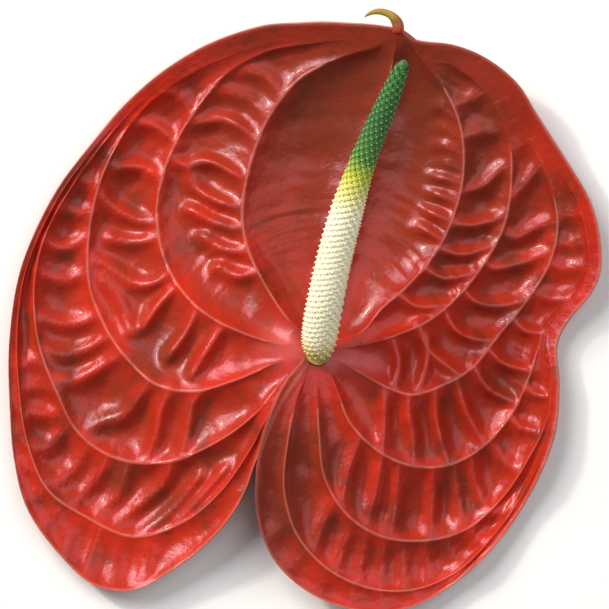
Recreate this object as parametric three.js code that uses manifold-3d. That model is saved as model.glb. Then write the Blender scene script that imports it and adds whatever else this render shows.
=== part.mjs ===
// A cut anthurium flower lying face up: the blade is the coloured bract, called the spathe,
// the spadix is the fleshy spike of tiny flowers, and the peduncle is the stalk.
// Millimetres, +Z up. +Y runs along the blade's midrib to its tip, and Z = 0 is the table.
import * as THREE from "three";
import { mergeVertices } from "three/addons/utils/BufferGeometryUtils.js";
import Module from "manifold-3d";

const wasm = await Module();
wasm.setup();

// ---- Driving dimensions ----

// Where the stalk meets the blade, in the part's frame. It centres the flower on the origin.
const JOINT = new THREE.Vector3(6.7, -9.5, 0);

const BLADE_THICKNESS = 0.9;
const LOWEST_CREST = 0.5; // where the blade lies on the table it can't go lower
const SCOOP_SHARE = 0.19; // depth of the hollow between two narrow-set veins, as a share of its width
const SCOOP_DEPTH = 3.2; // the most that the widest hollow comes to
const COLUMNS_PER_PANEL = 3;
const BLADE_ROWS = 62;
const TRIAL_ROWS = 480;
const RUN_POINTS = 600;
const SQUARENESS = 0.8; // how squarely the rows cross the veins, against how evenly they stand
const EVENING_ROWS = 16;
const PLATE_EASE = 1.5; // how far the bent plate may pass beside its known places
const COLLAR_RADIUS = 3.1; // the blade's inner edge, around the stalk
const COLLAR_Y = 1.8; // how far the stalk comes through beyond the meeting of the veins
const NECK_HALF_WIDTH = 1.2; // the blade's end, where the tail begins
const NECK_X = -1.2;
const NECK_Y = 80.5;

const TAIL_RADIUS = 1.4;
const TAIL_ROUTE = [[-1.2, 79.4, 12.9], [-1.5, 80.7, 13.4], [-2.1, 81.6, 14], [-3, 82.3, 14.8],
  [-4.2, 82.8, 15.4], [-5.6, 82.9, 15.8], [-7, 82.7, 16.1], [-8.3, 82.1, 16.1], [-9.2, 81.3, 15.9],
  [-9.8, 80.5, 15.7]];

const STALK_RADIUS = 2.6;
const STALK_ROUTE = [[15, -46, 2.65], [11, -33, 2.65], [6, -18, 2.75], [2, -7, 3], [1, -2.6, 4.2],
  [0.2, 0.9, 6.9], [0, 1.8, 10], [0, 2.1, 12.3]];

const SPADIX_RADIUS = 3.85;
const SPADIX_ROUTE = [[-0.1, 2.1, 13.4], [-0.4, 4, 16.2], [-1.4, 12, 22.3], [-2.2, 28, 29.5],
  [-1.6, 46, 37], [0.2, 60, 41.5], [1.8, 71.8, 45]];
// Radius along the spadix, from its base to its tip, as a share of SPADIX_RADIUS.
const SPADIX_PROFILE = [[0, 0], [0.006, 0.55], [0.03, 0.86], [0.08, 1], [0.25, 1], [0.45, 0.93], [0.62, 0.8],
  [0.8, 0.68], [0.9, 0.56], [0.96, 0.43], [0.99, 0.24], [1, 0]];

// ---- The veins ----
// Each vein leaves the collar at an angle, runs through the points of its route and ends at the neck.
// The last vein of each side is the blade's margin.
const MIDRIB = { angle: 90, route: [[0, 20], [0, 40], [0, 60]] };

const LEFT_VEINS = [
  { angle: 120, route: [[-8.5, 7.5], [-16.5, 14.5], [-22.5, 21.5], [-25.8, 29], [-27, 40],
    [-25.5, 53], [-20.5, 63.5], [-12, 70.8], [-5, 75.4]] },
  { angle: 155, route: [[-10.5, 1.5], [-20, 2], [-29, 4.3], [-37, 9.5], [-43, 17.5], [-46, 27],
    [-46, 37.5], [-43, 49], [-38, 59.5], [-30.5, 67], [-19.8, 72.2], [-8.5, 76.4]] },
  { angle: 185, route: [[-9, -3], [-18, -10], [-26, -14.5], [-35, -15.2], [-43.5, -11], [-51, -4.5],
    [-57, 4.5], [-60, 17], [-60, 30], [-57, 42], [-51.5, 51.8], [-43, 60.6], [-31.3, 68.8],
    [-18.5, 74.2], [-8, 77.2]] },
  { angle: 210, route: [[-7, -8], [-11, -16.5], [-18, -25], [-27.5, -32.2], [-39, -34.7],
    [-49.5, -31.5], [-57.5, -23], [-64.5, -13], [-69, 0], [-69.5, 12], [-66.5, 24.5], [-62.5, 34.9],
    [-57.6, 45.4], [-50.5, 55.7], [-41.7, 64.5], [-31, 71.2], [-18.4, 75.4], [-8, 77.8]] },
  { angle: 225, route: [[-6.5, -11], [-9.5, -24], [-14, -36], [-21, -45.5], [-31, -51.5], [-43, -50],
    [-53.5, -46], [-61, -36.5], [-66, -25], [-69.8, -13], [-71.8, 0.5], [-70.8, 12.4], [-67.8, 24.6],
    [-63.4, 35.3], [-58.4, 45.9], [-51.2, 56.4], [-42.4, 65.2], [-31.5, 72], [-18.6, 76.3],
    [-8, 78.6]] },
  { angle: 238, route: [[-5.5, -12], [-7.5, -26], [-8.7, -36.5], [-13, -47], [-20.5, -57],
    [-28, -63.7], [-37, -65], [-47, -60], [-57, -51.5], [-63, -41], [-67.5, -28], [-71, -15.5],
    [-73, 0], [-72, 12], [-69, 24.5], [-64.3, 35.7], [-59.3, 46.4], [-52, 57], [-43, 66],
    [-32, 72.9], [-24, 75.6], [-18.4, 77.2], [-12.6, 78.5], [-7.5, 79.5]] },
];

const RIGHT_VEINS = [
  { angle: 60, route: [[8.5, 9], [12, 16], [17, 23.5], [20.8, 32], [22.5, 41], [22.3, 51], [19, 61.5],
    [13, 69.3], [6, 74.8]] },
  { angle: 30, route: [[8, 5.5], [16, 10], [23, 15.5], [28.5, 23], [32.5, 32], [34.8, 42], [33.5, 54],
    [29.5, 64.2], [22.5, 71.6], [14, 75.2], [6.5, 76]] },
  { angle: 0, route: [[9, 0.3], [17.5, -1.8], [24, -2], [30.5, 2], [36, 7.5], [40, 16], [44.5, 26],
    [47.5, 36], [47, 46], [41.6, 56.3], [34, 65], [25.9, 72.4], [17.8, 76.2], [12, 76.9], [6.5, 76.7]] },
  { angle: -35, route: [[6.5, -5.5], [12, -12.5], [20, -17], [28.5, -18.3], [37, -15.8], [44, -9],
    [48.3, 0], [49.8, 9], [50.2, 16], [50.8, 21.6], [53.3, 26.8], [55.9, 32], [56.6, 37.6], [55, 43.5],
    [50.8, 51.1], [43.2, 58.7], [34.2, 66.8], [27.4, 73.2], [19.4, 77.2], [12, 77.9], [6.2, 77.3]] },
  { angle: -75, route: [[2.8, -9], [5.5, -17.5], [9, -26], [16, -33], [25, -36.2], [35, -35],
    [44.5, -29.8], [51, -20.5], [54.8, -9], [56.5, 1.5], [54.6, 11], [51.6, 18.9], [52.3, 22.6],
    [54.4, 27.4], [56.9, 32.4], [57.6, 37.6], [55.8, 43.8], [51.6, 51.6], [43.8, 59.4], [34.8, 67.4],
    [27.9, 73.9], [19.6, 77.9], [12, 78.5], [6, 77.8]] },
  { angle: -110, route: [[-2, -9], [-1.5, -20], [0.5, -31], [6, -40.5], [15, -46.7], [26, -48.8],
    [36.5, -46.5], [45, -40], [52, -28], [56.4, -14.6], [57.8, -2.2], [55.8, 9.8], [52.8, 18.8],
    [53.8, 23.8], [55.7, 28.2], [57.9, 32.4], [58.5, 37.4], [56.7, 44.2], [52.3, 52.2], [44.4, 60],
    [35.4, 68], [28.5, 74.5], [19.8, 78.5], [12, 79.2], [5.5, 78.2]] },
  { angle: -145, route: [[-6, -8], [-7.3, -20], [-6.8, -28], [-3.8, -39], [2, -47.5], [10, -52.5],
    [20, -54.7], [31, -53.6], [40, -48.3], [48, -38.8], [54, -27.5], [57.8, -14], [58.9, -2],
    [57, 9], [54, 18.8], [55.4, 25], [58.5, 31.5], [59.4, 37], [57.5, 44.5], [53, 52.7],
    [45, 60.7], [36, 68.7], [29, 75.2], [20, 79.1], [12, 79.9], [5, 78.8], [2.4, 78.8]] },
];

// ---- Heights ----
// How high the veins' crests stand at known places, as [x, y, height]. The blade is a shallow cup
// whose hollows touch the table, and the two lobes overlap at different heights by the stalk.
const MIDRIB_HEIGHTS = [
  [0, 4.9, 10.3], [0, 20, 7.6], [0, 40, 5.8], [0, 60, 7.6], [0, 72, 10.5], [-1.2, 80, 13.4],
];
const LEFT_HEIGHTS = [
  [-3, 1.5, 10.5], [-1.7, -0.9, 10.2], [-4.2, -8, 12.2], [-16, 14, 8.8], [-27, 40, 6.4],
  [-20, 63, 8.4], [-29, 4, 9], [-46, 27, 3.6], [-43, 49, 4.8], [-30, 67.5, 7.8], [-18, -10, 11],
  [-35, -15, 8], [-51, -4.5, 4.2], [-60, 17, 3.2], [-57.5, 42, 4.6], [-44, 62, 7],
  [-19, 75.6, 10.5], [-11, -16, 12], [-27.5, -32, 7.2], [-49.5, -31.5, 3.2], [-69, 0, 4.6],
  [-66.5, 25, 5.6], [-14, -36, 10], [-21, -45.5, 6.2], [-43, -50, 3.3], [-61, -36.5, 4.4],
  [-72, 1, 5.6], [-5.5, -12, 13.2], [-7.5, -26, 12.8], [-8.7, -36.5, 11.4], [-13, -47, 9.4],
  [-20.5, -57, 7], [-37, -65, 5.4], [-57, -51.5, 5.6], [-67.5, -28, 5.8], [-73.2, 0, 5.6],
  [-69, 24.5, 6.2], [-64.3, 35.7, 6.6], [-52, 57, 8], [-32, 73.2, 10.4], [-19, 77, 11.6],
  [-8, 79.4, 12.8],
];
const RIGHT_HEIGHTS = [
  [3, 1.5, 10.6], [-2.6, 0, 12.4], [-1.1, -1.2, 11.7], [0.8, -1.3, 11.1], [12, 16, 8.8],
  [22.5, 41, 6.4], [19, 61.5, 8.2], [16, 10, 9.4], [32.5, 32, 4.6], [33.5, 54, 5.8],
  [22.5, 73, 9.8], [24, -2, 9.8], [36, 7.5, 6], [44.5, 26, 2.3], [47, 46, 4.2], [35, 66, 7.4],
  [5.5, -6, 11.2], [20, -17, 10.2], [37, -15.8, 5.2], [48.3, 0, 2.8], [51, 20, 3], [56.3, 38, 5.8],
  [44.5, 58.4, 7], [27.5, 74.6, 10.2], [5.5, -17.5, 12.4], [9, -26, 11.4], [16, -33, 9.8],
  [35, -35, 4.6], [51, -20.5, 2.8], [54.6, 3, 4.2], [52.4, 21, 3.8], [57.8, 38, 6.4],
  [-1.5, -20, 14.6], [0.5, -31, 13], [6, -40.5, 10.8], [15, -46.7, 8.8], [26, -48.8, 6.4],
  [45, -40, 3.8], [56.3, -15, 4.6], [57.2, -2, 5.2], [-6, -8, 15.4], [-2, -9, 13.6],
  [2.8, -9, 12.2], [-6.4, -12, 16.2], [-7.3, -20, 16.8], [-6.8, -28, 16.2], [-3.8, -39, 13.4],
  [2, -47.5, 11], [20, -54.7, 7.8], [31, -53.6, 6.4], [48, -38.8, 4.8], [57.8, -14, 5.4],
  [58.9, -2, 6], [57, 9, 5.8], [54, 18.8, 4.8], [59.4, 37, 7.2], [53, 52.7, 7.6], [36, 68.7, 9],
  [20, 79.2, 11], [4.5, 78.8, 12.8],
];

// ---- Shared helpers ----

const smooth = (x) => x * x * (3 - 2 * x);

// A smooth curve through [x, y] pairs, used as a graph: the y at a given x.
function graph(pairs, x) {
  const last = pairs.length - 1;
  let i = 0;
  while (i < last - 1 && x > pairs[i + 1][0]) i += 1;
  const slope = (k) => {
    const a = pairs[Math.max(k - 1, 0)];
    const b = pairs[Math.min(k + 1, last)];
    return (b[1] - a[1]) / (b[0] - a[0]);
  };
  const [x0, y0] = pairs[i];
  const [x1, y1] = pairs[i + 1];
  const span = x1 - x0;
  const u = THREE.MathUtils.clamp((x - x0) / span, 0, 1);
  const rise = smooth(u);
  return y0 * (1 - rise) + y1 * rise
    + span * slope(i) * u * (1 - u) ** 2 - span * slope(i + 1) * u * u * (1 - u);
}

// A thin plate bent to pass close to known places: gives its height at any x and y.
function bentPlate(places) {
  const bend = (x, y, [px, py]) => {
    const squared = (x - px) ** 2 + (y - py) ** 2;
    return squared > 0 ? 0.5 * squared * Math.log(squared) : 0;
  };
  const count = places.length;
  const rows = places.map(([x, y, z], i) =>
    [...places.map((place, k) => bend(x, y, place) + (i === k ? PLATE_EASE : 0)), 1, x, y, z]);
  rows.push([...places.map(() => 1), 0, 0, 0, 0]);
  rows.push([...places.map(([x]) => x), 0, 0, 0, 0]);
  rows.push([...places.map(([, y]) => y), 0, 0, 0, 0]);
  const weights = solve(rows);
  return (x, y) => places.reduce(
    (sum, place, k) => sum + weights[k] * bend(x, y, place),
    weights[count] + weights[count + 1] * x + weights[count + 2] * y);
}

// Solves linear equations by elimination. Each row holds the factors and then the right-hand side.
function solve(rows) {
  const size = rows.length;
  for (let i = 0; i < size; i += 1) {
    let pivot = i;
    for (let k = i + 1; k < size; k += 1) {
      if (Math.abs(rows[k][i]) > Math.abs(rows[pivot][i])) pivot = k;
    }
    [rows[i], rows[pivot]] = [rows[pivot], rows[i]];
    for (let k = i + 1; k < size; k += 1) {
      const share = rows[k][i] / rows[i][i];
      for (let c = i; c <= size; c += 1) rows[k][c] -= share * rows[i][c];
    }
  }
  const found = new Array(size).fill(0);
  for (let i = size - 1; i >= 0; i -= 1) {
    let rest = rows[i][size];
    for (let c = i + 1; c < size; c += 1) rest -= rows[i][c] * found[c];
    found[i] = rest / rows[i][i];
  }
  return found;
}

const curveThrough = (points) =>
  new THREE.CatmullRomCurve3(points.map((p) => new THREE.Vector3(...p)), false, "centripetal");

// A turned shape bent along a curve: the lathe's axis becomes the curve.
function bentLathe(profile, curve, sides) {
  const geometry = new THREE.LatheGeometry(profile.map(([along, r]) => new THREE.Vector2(r, along)), sides);
  const position = geometry.getAttribute("position");
  const forward = new THREE.Vector3();
  const across = new THREE.Vector3();
  const above = new THREE.Vector3();
  const point = new THREE.Vector3();
  for (let i = 0; i < position.count; i += 1) {
    const share = THREE.MathUtils.clamp(position.getY(i), 0, 1);
    curve.getTangentAt(share, forward);
    across.crossVectors(forward, new THREE.Vector3(0, 0, 1)).normalize();
    above.crossVectors(across, forward);
    curve.getPointAt(share, point);
    point.addScaledVector(across, position.getX(i)).addScaledVector(above, position.getZ(i));
    position.setXYZ(i, point.x, point.y, point.z);
  }
  return geometry;
}

// ---- The blade ----

// A vein's crest as a run of points, each with its share of the vein's length in plan.
function veinRun(vein, side, share, heightAt) {
  const angle = THREE.MathUtils.degToRad(vein.angle);
  const start = [COLLAR_RADIUS * Math.cos(angle), COLLAR_Y + COLLAR_RADIUS * Math.sin(angle), 0];
  const end = [NECK_X + side * share * NECK_HALF_WIDTH, NECK_Y - 0.4 * share, 0];
  const curve = curveThrough([start, ...vein.route.map(([x, y]) => [x, y, 0]), end]);
  curve.arcLengthDivisions = 400;
  const run = [];
  for (let k = 0; k <= RUN_POINTS; k += 1) {
    const point = curve.getPointAt(k / RUN_POINTS);
    point.z = Math.max(heightAt(point.x, point.y), LOWEST_CREST);
    run.push({ share: k / RUN_POINTS, point });
  }
  return run;
}

// The point of a run at a share of its length.
function pointOnRun(run, share) {
  let k = 0;
  while (k < run.length - 2 && run[k + 1].share < share) k += 1;
  const stretch = run[k + 1].share - run[k].share;
  const part = THREE.MathUtils.clamp((share - run[k].share) / stretch, 0, 1);
  return run[k].point.clone().lerp(run[k + 1].point, part);
}

// Rows should cross the veins squarely. So each row's place on the next vein out is mostly the
// nearest one to its place on this vein, evened out so that no two rows run together.
function matchOutwards(run, shares, nextRun) {
  const last = shares.length - 1;
  let from = 0;
  const nearest = shares.map((share, j) => {
    const here = pointOnRun(run, share);
    let best = from;
    let least = Infinity;
    for (let k = from; k < Math.min(from + RUN_POINTS / 4, nextRun.length); k += 1) {
      const there = nextRun[k].point;
      const gap = Math.hypot(there.x - here.x, there.y - here.y);
      if (gap < least) {
        least = gap;
        best = k;
      }
    }
    from = best;
    const squarely = j === last ? 1 : nextRun[best].share;
    return SQUARENESS * squarely + (1 - SQUARENESS) * share;
  });
  return nearest.map((_, j) => {
    const reach = Math.min(EVENING_ROWS, j, last - j);
    let sum = 0;
    for (let k = j - reach; k <= j + reach; k += 1) sum += nearest[k];
    return sum / (2 * reach + 1);
  });
}

// The shares of each vein's length at which the rows cross it, for one half of the blade.
function crossings(runs) {
  const all = [Array.from({ length: TRIAL_ROWS + 1 }, (_, j) => j / TRIAL_ROWS)];
  for (let i = 1; i < runs.length; i += 1) all.push(matchOutwards(runs[i - 1], all[i - 1], runs[i]));
  return all;
}

const readAt = (values, place) => {
  const k = Math.min(Math.floor(place), values.length - 2);
  return THREE.MathUtils.lerp(values[k], values[k + 1], place - k);
};

// How far the blade sags between two veins. Where the veins close up, it doesn't.
function scoop(width, share) {
  const open = smooth(THREE.MathUtils.clamp((width - 2.5) / 5, 0, 1));
  const deepest = SCOOP_DEPTH * Math.tanh((SCOOP_SHARE * width) / SCOOP_DEPTH);
  return open * deepest * (1 - Math.abs(2 * share - 1) ** 2.3);
}

// One half of the blade as rows of points, from the midrib out to the margin.
function halfRows(runs, shares, places) {
  const panels = runs.length - 1;
  return places.map((place) => {
    const crests = runs.map((run, i) => pointOnRun(run, readAt(shares[i], place)));
    const across = new THREE.CatmullRomCurve3(crests, false, "centripetal");
    const row = [];
    for (let i = 0; i < panels; i += 1) {
      const width = crests[i].distanceTo(crests[i + 1]);
      for (let k = 0; k < COLUMNS_PER_PANEL; k += 1) {
        const share = k / COLUMNS_PER_PANEL;
        const point = across.getPoint((i + share) / panels);
        point.z = Math.max(point.z - scoop(width, share), LOWEST_CREST);
        row.push(point);
      }
    }
    row.push(crests[panels].clone());
    return row;
  });
}

// The trial rows at which to place the real ones, so that they stand about evenly apart where
// they spread widest.
function rowPlaces(runs, shares) {
  const travelled = [0];
  for (let j = 1; j <= TRIAL_ROWS; j += 1) {
    const steps = runs.map((run, i) =>
      pointOnRun(run, shares[i][j]).distanceTo(pointOnRun(run, shares[i][j - 1])));
    travelled.push(travelled[j - 1] + Math.max(...steps));
  }
  const places = [];
  for (let row = 0; row <= BLADE_ROWS; row += 1) {
    const wanted = (travelled[TRIAL_ROWS] * row) / BLADE_ROWS;
    let j = 0;
    while (j < TRIAL_ROWS - 1 && travelled[j + 1] < wanted) j += 1;
    places.push(j + (wanted - travelled[j]) / (travelled[j + 1] - travelled[j]));
  }
  return places;
}

// The blade's upper face and its normals: each row runs from the left margin to the right one.
function bladeRows() {
  const leftPlate = bentPlate([...MIDRIB_HEIGHTS, ...LEFT_HEIGHTS]);
  const rightPlate = bentPlate([...MIDRIB_HEIGHTS, ...RIGHT_HEIGHTS]);
  const midribRun = veinRun(MIDRIB, 0, 0, leftPlate);
  const runsOf = (veins, side, plate) =>
    [midribRun, ...veins.map((vein, i) => veinRun(vein, side, (i + 1) / veins.length, plate))];
  const leftRuns = runsOf(LEFT_VEINS, -1, leftPlate);
  const rightRuns = runsOf(RIGHT_VEINS, 1, rightPlate);
  const leftShares = crossings(leftRuns);
  const rightShares = crossings(rightRuns);
  const places = rowPlaces([...leftRuns, ...rightRuns], [...leftShares, ...rightShares]);
  const left = halfRows(leftRuns, leftShares, places);
  const right = halfRows(rightRuns, rightShares, places);
  const rows = left.map((row, j) => [...row.slice(1).reverse(), ...right[j]]);
  const middle = left[0].length - 1;
  const normals = rows.map((row) => row.map((point, i) => upward(i > middle ? rightPlate : leftPlate, point)));
  return { rows, normals };
}

// The bent plate's upward normal at a point.
function upward(heightAt, { x, y }) {
  const slopeX = (heightAt(x + 0.5, y) - heightAt(x - 0.5, y));
  const slopeY = (heightAt(x, y + 0.5) - heightAt(x, y - 0.5));
  return new THREE.Vector3(-slopeX, -slopeY, 1).normalize();
}

// A sheet of even thickness under a grid of points, as one closed geometry. It stays above the table.
function sheetGeometry(rows, normals, thickness) {
  const lower = rows.map((row, j) => row.map((point, i) => {
    const below = point.clone().addScaledVector(normals[j][i], -thickness);
    below.z = Math.max(below.z, 0);
    return below;
  }));
  const positions = [];
  const quad = (a, b, c, d) => {
    for (const p of [a, b, c, a, c, d]) positions.push(p.x, p.y, p.z);
  };
  const lastRow = rows.length - 1;
  const lastColumn = rows[0].length - 1;
  for (let j = 0; j < lastRow; j += 1) {
    for (let i = 0; i < lastColumn; i += 1) {
      quad(rows[j][i], rows[j][i + 1], rows[j + 1][i + 1], rows[j + 1][i]);
      quad(lower[j][i], lower[j + 1][i], lower[j + 1][i + 1], lower[j][i + 1]);
    }
    quad(rows[j][0], rows[j + 1][0], lower[j + 1][0], lower[j][0]);
    quad(rows[j][lastColumn], lower[j][lastColumn], lower[j + 1][lastColumn], rows[j + 1][lastColumn]);
  }
  for (let i = 0; i < lastColumn; i += 1) {
    quad(rows[0][i], lower[0][i], lower[0][i + 1], rows[0][i + 1]);
    quad(rows[lastRow][i], rows[lastRow][i + 1], lower[lastRow][i + 1], lower[lastRow][i]);
  }
  return new THREE.BufferGeometry().setAttribute("position", new THREE.Float32BufferAttribute(positions, 3));
}

// ---- Joining ----

function toSolid(geometry) {
  const bare = new THREE.BufferGeometry().setAttribute("position", geometry.getAttribute("position"));
  if (geometry.index) bare.setIndex(geometry.index);
  const merged = mergeVertices(bare, 1e-3);
  return new wasm.Manifold(new wasm.Mesh({
    numProp: 3,
    vertProperties: new Float32Array(merged.getAttribute("position").array),
    triVerts: new Uint32Array(merged.index.array),
  }));
}

function toGeometry(solid) {
  const mesh = solid.getMesh();
  return new THREE.BufferGeometry()
    .setAttribute("position", new THREE.BufferAttribute(mesh.vertProperties, 3))
    .setIndex(new THREE.BufferAttribute(mesh.triVerts, 1));
}

// ---- The pieces ----

function spatheGeometry() {
  const { rows, normals } = bladeRows();
  const blade = sheetGeometry(rows, normals, BLADE_THICKNESS);
  const steps = 12;
  const tailProfile = [[0, 0]];
  for (let k = 0; k < steps; k += 1) tailProfile.push([k / steps, TAIL_RADIUS * (1 - (k / steps) ** 2)]);
  tailProfile.push([1, 0]);
  const tail = bentLathe(tailProfile, curveThrough(TAIL_ROUTE), 10);
  return toGeometry(toSolid(blade).add(toSolid(tail)));
}

function spadixGeometry() {
  const steps = 26;
  const profile = Array.from({ length: steps + 1 }, (_, k) => {
    const share = (1 - Math.cos((Math.PI * k) / steps)) / 2;
    return [share, k === 0 || k === steps ? 0 : SPADIX_RADIUS * graph(SPADIX_PROFILE, share)];
  });
  return bentLathe(profile, curveThrough(SPADIX_ROUTE), 16);
}

function stalkGeometry() {
  const round = new THREE.Shape().absarc(0, 0, STALK_RADIUS, 0, 2 * Math.PI);
  const extrudePath = curveThrough(STALK_ROUTE);
  return new THREE.ExtrudeGeometry(round, { steps: 24, curveSegments: 8, extrudePath });
}

const flower = new THREE.Group();
flower.name = "anthurium_flower";
flower.position.copy(JOINT);

function addPiece(name, geometry, color, roughness) {
  const material = new THREE.MeshStandardMaterial({ color, roughness, metalness: 0 });
  const mesh = new THREE.Mesh(geometry, material);
  mesh.name = name;
  flower.add(mesh);
}

addPiece("spathe", spatheGeometry(), 0xa81f1a, 0.2);
addPiece("spadix", spadixGeometry(), 0xe9dc98, 0.5);
addPiece("peduncle", stalkGeometry(), 0x6f8f3a, 0.45);

const part = new THREE.Group();
part.add(flower);

export default part;
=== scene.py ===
# %% [markdown]
# # A cut anthurium flower
#
# Many people call the red, heart-shaped blade a petal, but it is a changed leaf, the *spathe*.
# The real flowers are tiny and sit by the hundred on the upright spike, the *spadix*. The stalk
# behind them is the *peduncle*. The flower has been cut and laid face up on a table.
#
# The solid model is loaded first, and its box is kept. Its box is kept, because nothing made
# here may outgrow it.

import math

import bmesh
import bpy
import numpy as np
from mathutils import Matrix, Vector, noise


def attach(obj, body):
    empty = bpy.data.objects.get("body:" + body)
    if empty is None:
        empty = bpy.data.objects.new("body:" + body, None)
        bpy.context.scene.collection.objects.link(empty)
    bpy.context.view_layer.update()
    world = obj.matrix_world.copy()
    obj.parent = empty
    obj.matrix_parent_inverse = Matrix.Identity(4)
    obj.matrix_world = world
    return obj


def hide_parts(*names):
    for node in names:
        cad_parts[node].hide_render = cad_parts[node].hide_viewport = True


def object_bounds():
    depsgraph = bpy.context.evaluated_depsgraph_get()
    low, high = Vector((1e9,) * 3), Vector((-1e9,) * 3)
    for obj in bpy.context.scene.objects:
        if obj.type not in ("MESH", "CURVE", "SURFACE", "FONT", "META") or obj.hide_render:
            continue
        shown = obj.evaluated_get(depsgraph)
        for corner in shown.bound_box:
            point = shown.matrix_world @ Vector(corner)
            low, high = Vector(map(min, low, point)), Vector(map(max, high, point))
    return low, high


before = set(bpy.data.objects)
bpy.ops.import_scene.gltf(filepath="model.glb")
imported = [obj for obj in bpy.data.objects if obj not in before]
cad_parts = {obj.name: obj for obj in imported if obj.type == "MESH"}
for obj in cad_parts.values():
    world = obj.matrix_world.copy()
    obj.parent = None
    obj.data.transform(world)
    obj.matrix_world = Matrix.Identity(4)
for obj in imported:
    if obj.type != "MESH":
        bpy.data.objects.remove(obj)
cad_box = [list(map(float, corner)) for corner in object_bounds()]
print("solid model's box", cad_box)

MM = 0.001
STEM = np.array([6.7, -9.5, 0.0])  # where the stalk meets the blade, in millimetres

# %% [markdown]
# ## The camera
#
# The flower is seen straight from above, as it is when it lies on a table, with its tip turned a
# little to the right of the top. A long lens far away keeps the raised spike from looking bigger
# than it is.

# %% Camera
LEAN = math.radians(14.9)  # how far the tip leans clockwise in the view
VIEW_CENTRE = Vector(((STEM[0] - 6.0) * MM, (STEM[1] + 12.0) * MM, 0.006))
CAMERA_DISTANCE = 1.0
VIEW_WIDTH = 0.144

camera = bpy.data.objects.new("camera", bpy.data.cameras.new("camera"))
camera.data.sensor_width = 36
camera.data.lens = 36 * CAMERA_DISTANCE / VIEW_WIDTH
camera.data.clip_start = 0.01
camera.location = VIEW_CENTRE + Vector((0, 0, CAMERA_DISTANCE))
camera.rotation_euler = (0, 0, LEAN)
bpy.context.scene.collection.objects.link(camera)
bpy.context.scene.camera = camera
print("lens", round(camera.data.lens), "mm")

# %% [markdown]
# ## Light and floor
#
# A waxy blade shows its relief only where something bright is mirrored in it, and it is dark
# where nothing is. So the room is dim and one soft panel hangs low on the upper left. A small
# bright panel beside it gives the little cream sparkles, and a weak one on the right keeps the
# shaded sides from going black. The floor is plain and pale.

# %% Dim room
ROOM_STRENGTH = 0.16

world = bpy.data.worlds.new("dim_room")
bpy.context.scene.world = world
world.use_nodes = True
world.node_tree.nodes["Background"].inputs["Color"].default_value = (1.0, 1.0, 1.0, 1)
world.node_tree.nodes["Background"].inputs["Strength"].default_value = ROOM_STRENGTH
bpy.context.scene.view_settings.view_transform = "Standard"
print("room strength", ROOM_STRENGTH)

# %% Panels


def add_panel(name, heading, elevation, distance, size, power, colour):
    """A square soft light that faces the flower. Heading 0 is the right of the view, 90 its top."""
    around = math.radians(heading) + LEAN
    up = math.radians(elevation)
    towards = Vector((math.cos(around) * math.cos(up), math.sin(around) * math.cos(up), math.sin(up)))
    lamp = bpy.data.lights.new(name, "AREA")
    lamp.shape = "SQUARE"
    lamp.size = size
    lamp.energy = power
    lamp.color = colour
    panel = bpy.data.objects.new(name, lamp)
    panel.location = VIEW_CENTRE + towards * distance
    panel.rotation_euler = towards.to_track_quat("Z", "Y").to_euler()
    bpy.context.scene.collection.objects.link(panel)
    return panel


panels_lit = [
    add_panel("soft_panel", heading=132, elevation=38, distance=2.4, size=1.50, power=56.0,
              colour=(1.0, 0.98, 0.98)),
    add_panel("spark_panel", heading=140, elevation=32, distance=1.8, size=0.15, power=14.0,
              colour=(1.0, 0.93, 0.72)),
    add_panel("fill_panel", heading=25, elevation=58, distance=2.4, size=2.20, power=23.0,
              colour=(1.0, 1.0, 1.0)),
]
print("panels", [panel.name for panel in panels_lit])

# %% Floor
FLOOR_HALF = 3.0
FLOOR_HEIGHT = cad_box[0][2]

floor_mesh = bpy.data.meshes.new("floor")
floor_mesh.from_pydata(
    [(x * FLOOR_HALF, y * FLOOR_HALF, FLOOR_HEIGHT) for x, y in ((-1, -1), (1, -1), (1, 1), (-1, 1))],
    [], [(0, 1, 2, 3)])
floor = bpy.data.objects.new("floor", floor_mesh)
bpy.context.scene.collection.objects.link(floor)
floor_finish = bpy.data.materials.new("pale_floor")
floor_finish.use_nodes = True
floor_shader = floor_finish.node_tree.nodes["Principled BSDF"]
floor_shader.inputs["Base Color"].default_value = (0.93, 0.93, 0.93, 1)
floor_shader.inputs["Roughness"].default_value = 0.9
floor_mesh.materials.append(floor_finish)
print("floor", round(2 * FLOOR_HALF), "m square")

# %% [markdown]
# ## Soft steps
#
# A plant has no sharp changes, so everything here fades in and out. A few helpers do that: one
# climbs, one drops, one makes a hump, and one softens the start and end of any of them. Another
# reads a smooth graph drawn through a few pairs of numbers.

# %% Soft steps and graphs


def rise(x, start, span):
    """0 up to the start, then an even climb to 1 over the span."""
    return np.clip((x - start) / span, 0, 1)


def fall(x, end, span):
    """An even drop over the span to 0 at the end, and 1 before it."""
    return np.clip((end - x) / span, 0, 1)


def smooth(x):
    """A climb from 0 to 1 that starts and ends level."""
    return x * x * (3 - 2 * x)


def hump(x, middle, reach):
    """1 in the middle, and nearly 0 at twice the reach."""
    return np.exp(-((x - middle) / reach) ** 2)


def graph(pairs, x):
    """A smooth graph through (x, y) pairs, read at each x of an array."""
    xs, ys = np.array(pairs, float).T
    number = np.arange(len(xs))
    before, after = np.maximum(number - 1, 0), np.minimum(number + 1, len(xs) - 1)
    slopes = (ys[after] - ys[before]) / (xs[after] - xs[before])
    i = np.clip(np.searchsorted(xs, x, side="left") - 1, 0, len(xs) - 2)
    span = xs[i + 1] - xs[i]
    u = np.clip((x - xs[i]) / span, 0, 1)
    return (ys[i] * (1 - smooth(u)) + ys[i + 1] * smooth(u)
            + span * slopes[i] * u * (1 - u) ** 2 - span * slopes[i + 1] * u * u * (1 - u))


print("halfway up a soft step", smooth(rise(0.5, 0, 1)))
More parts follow.
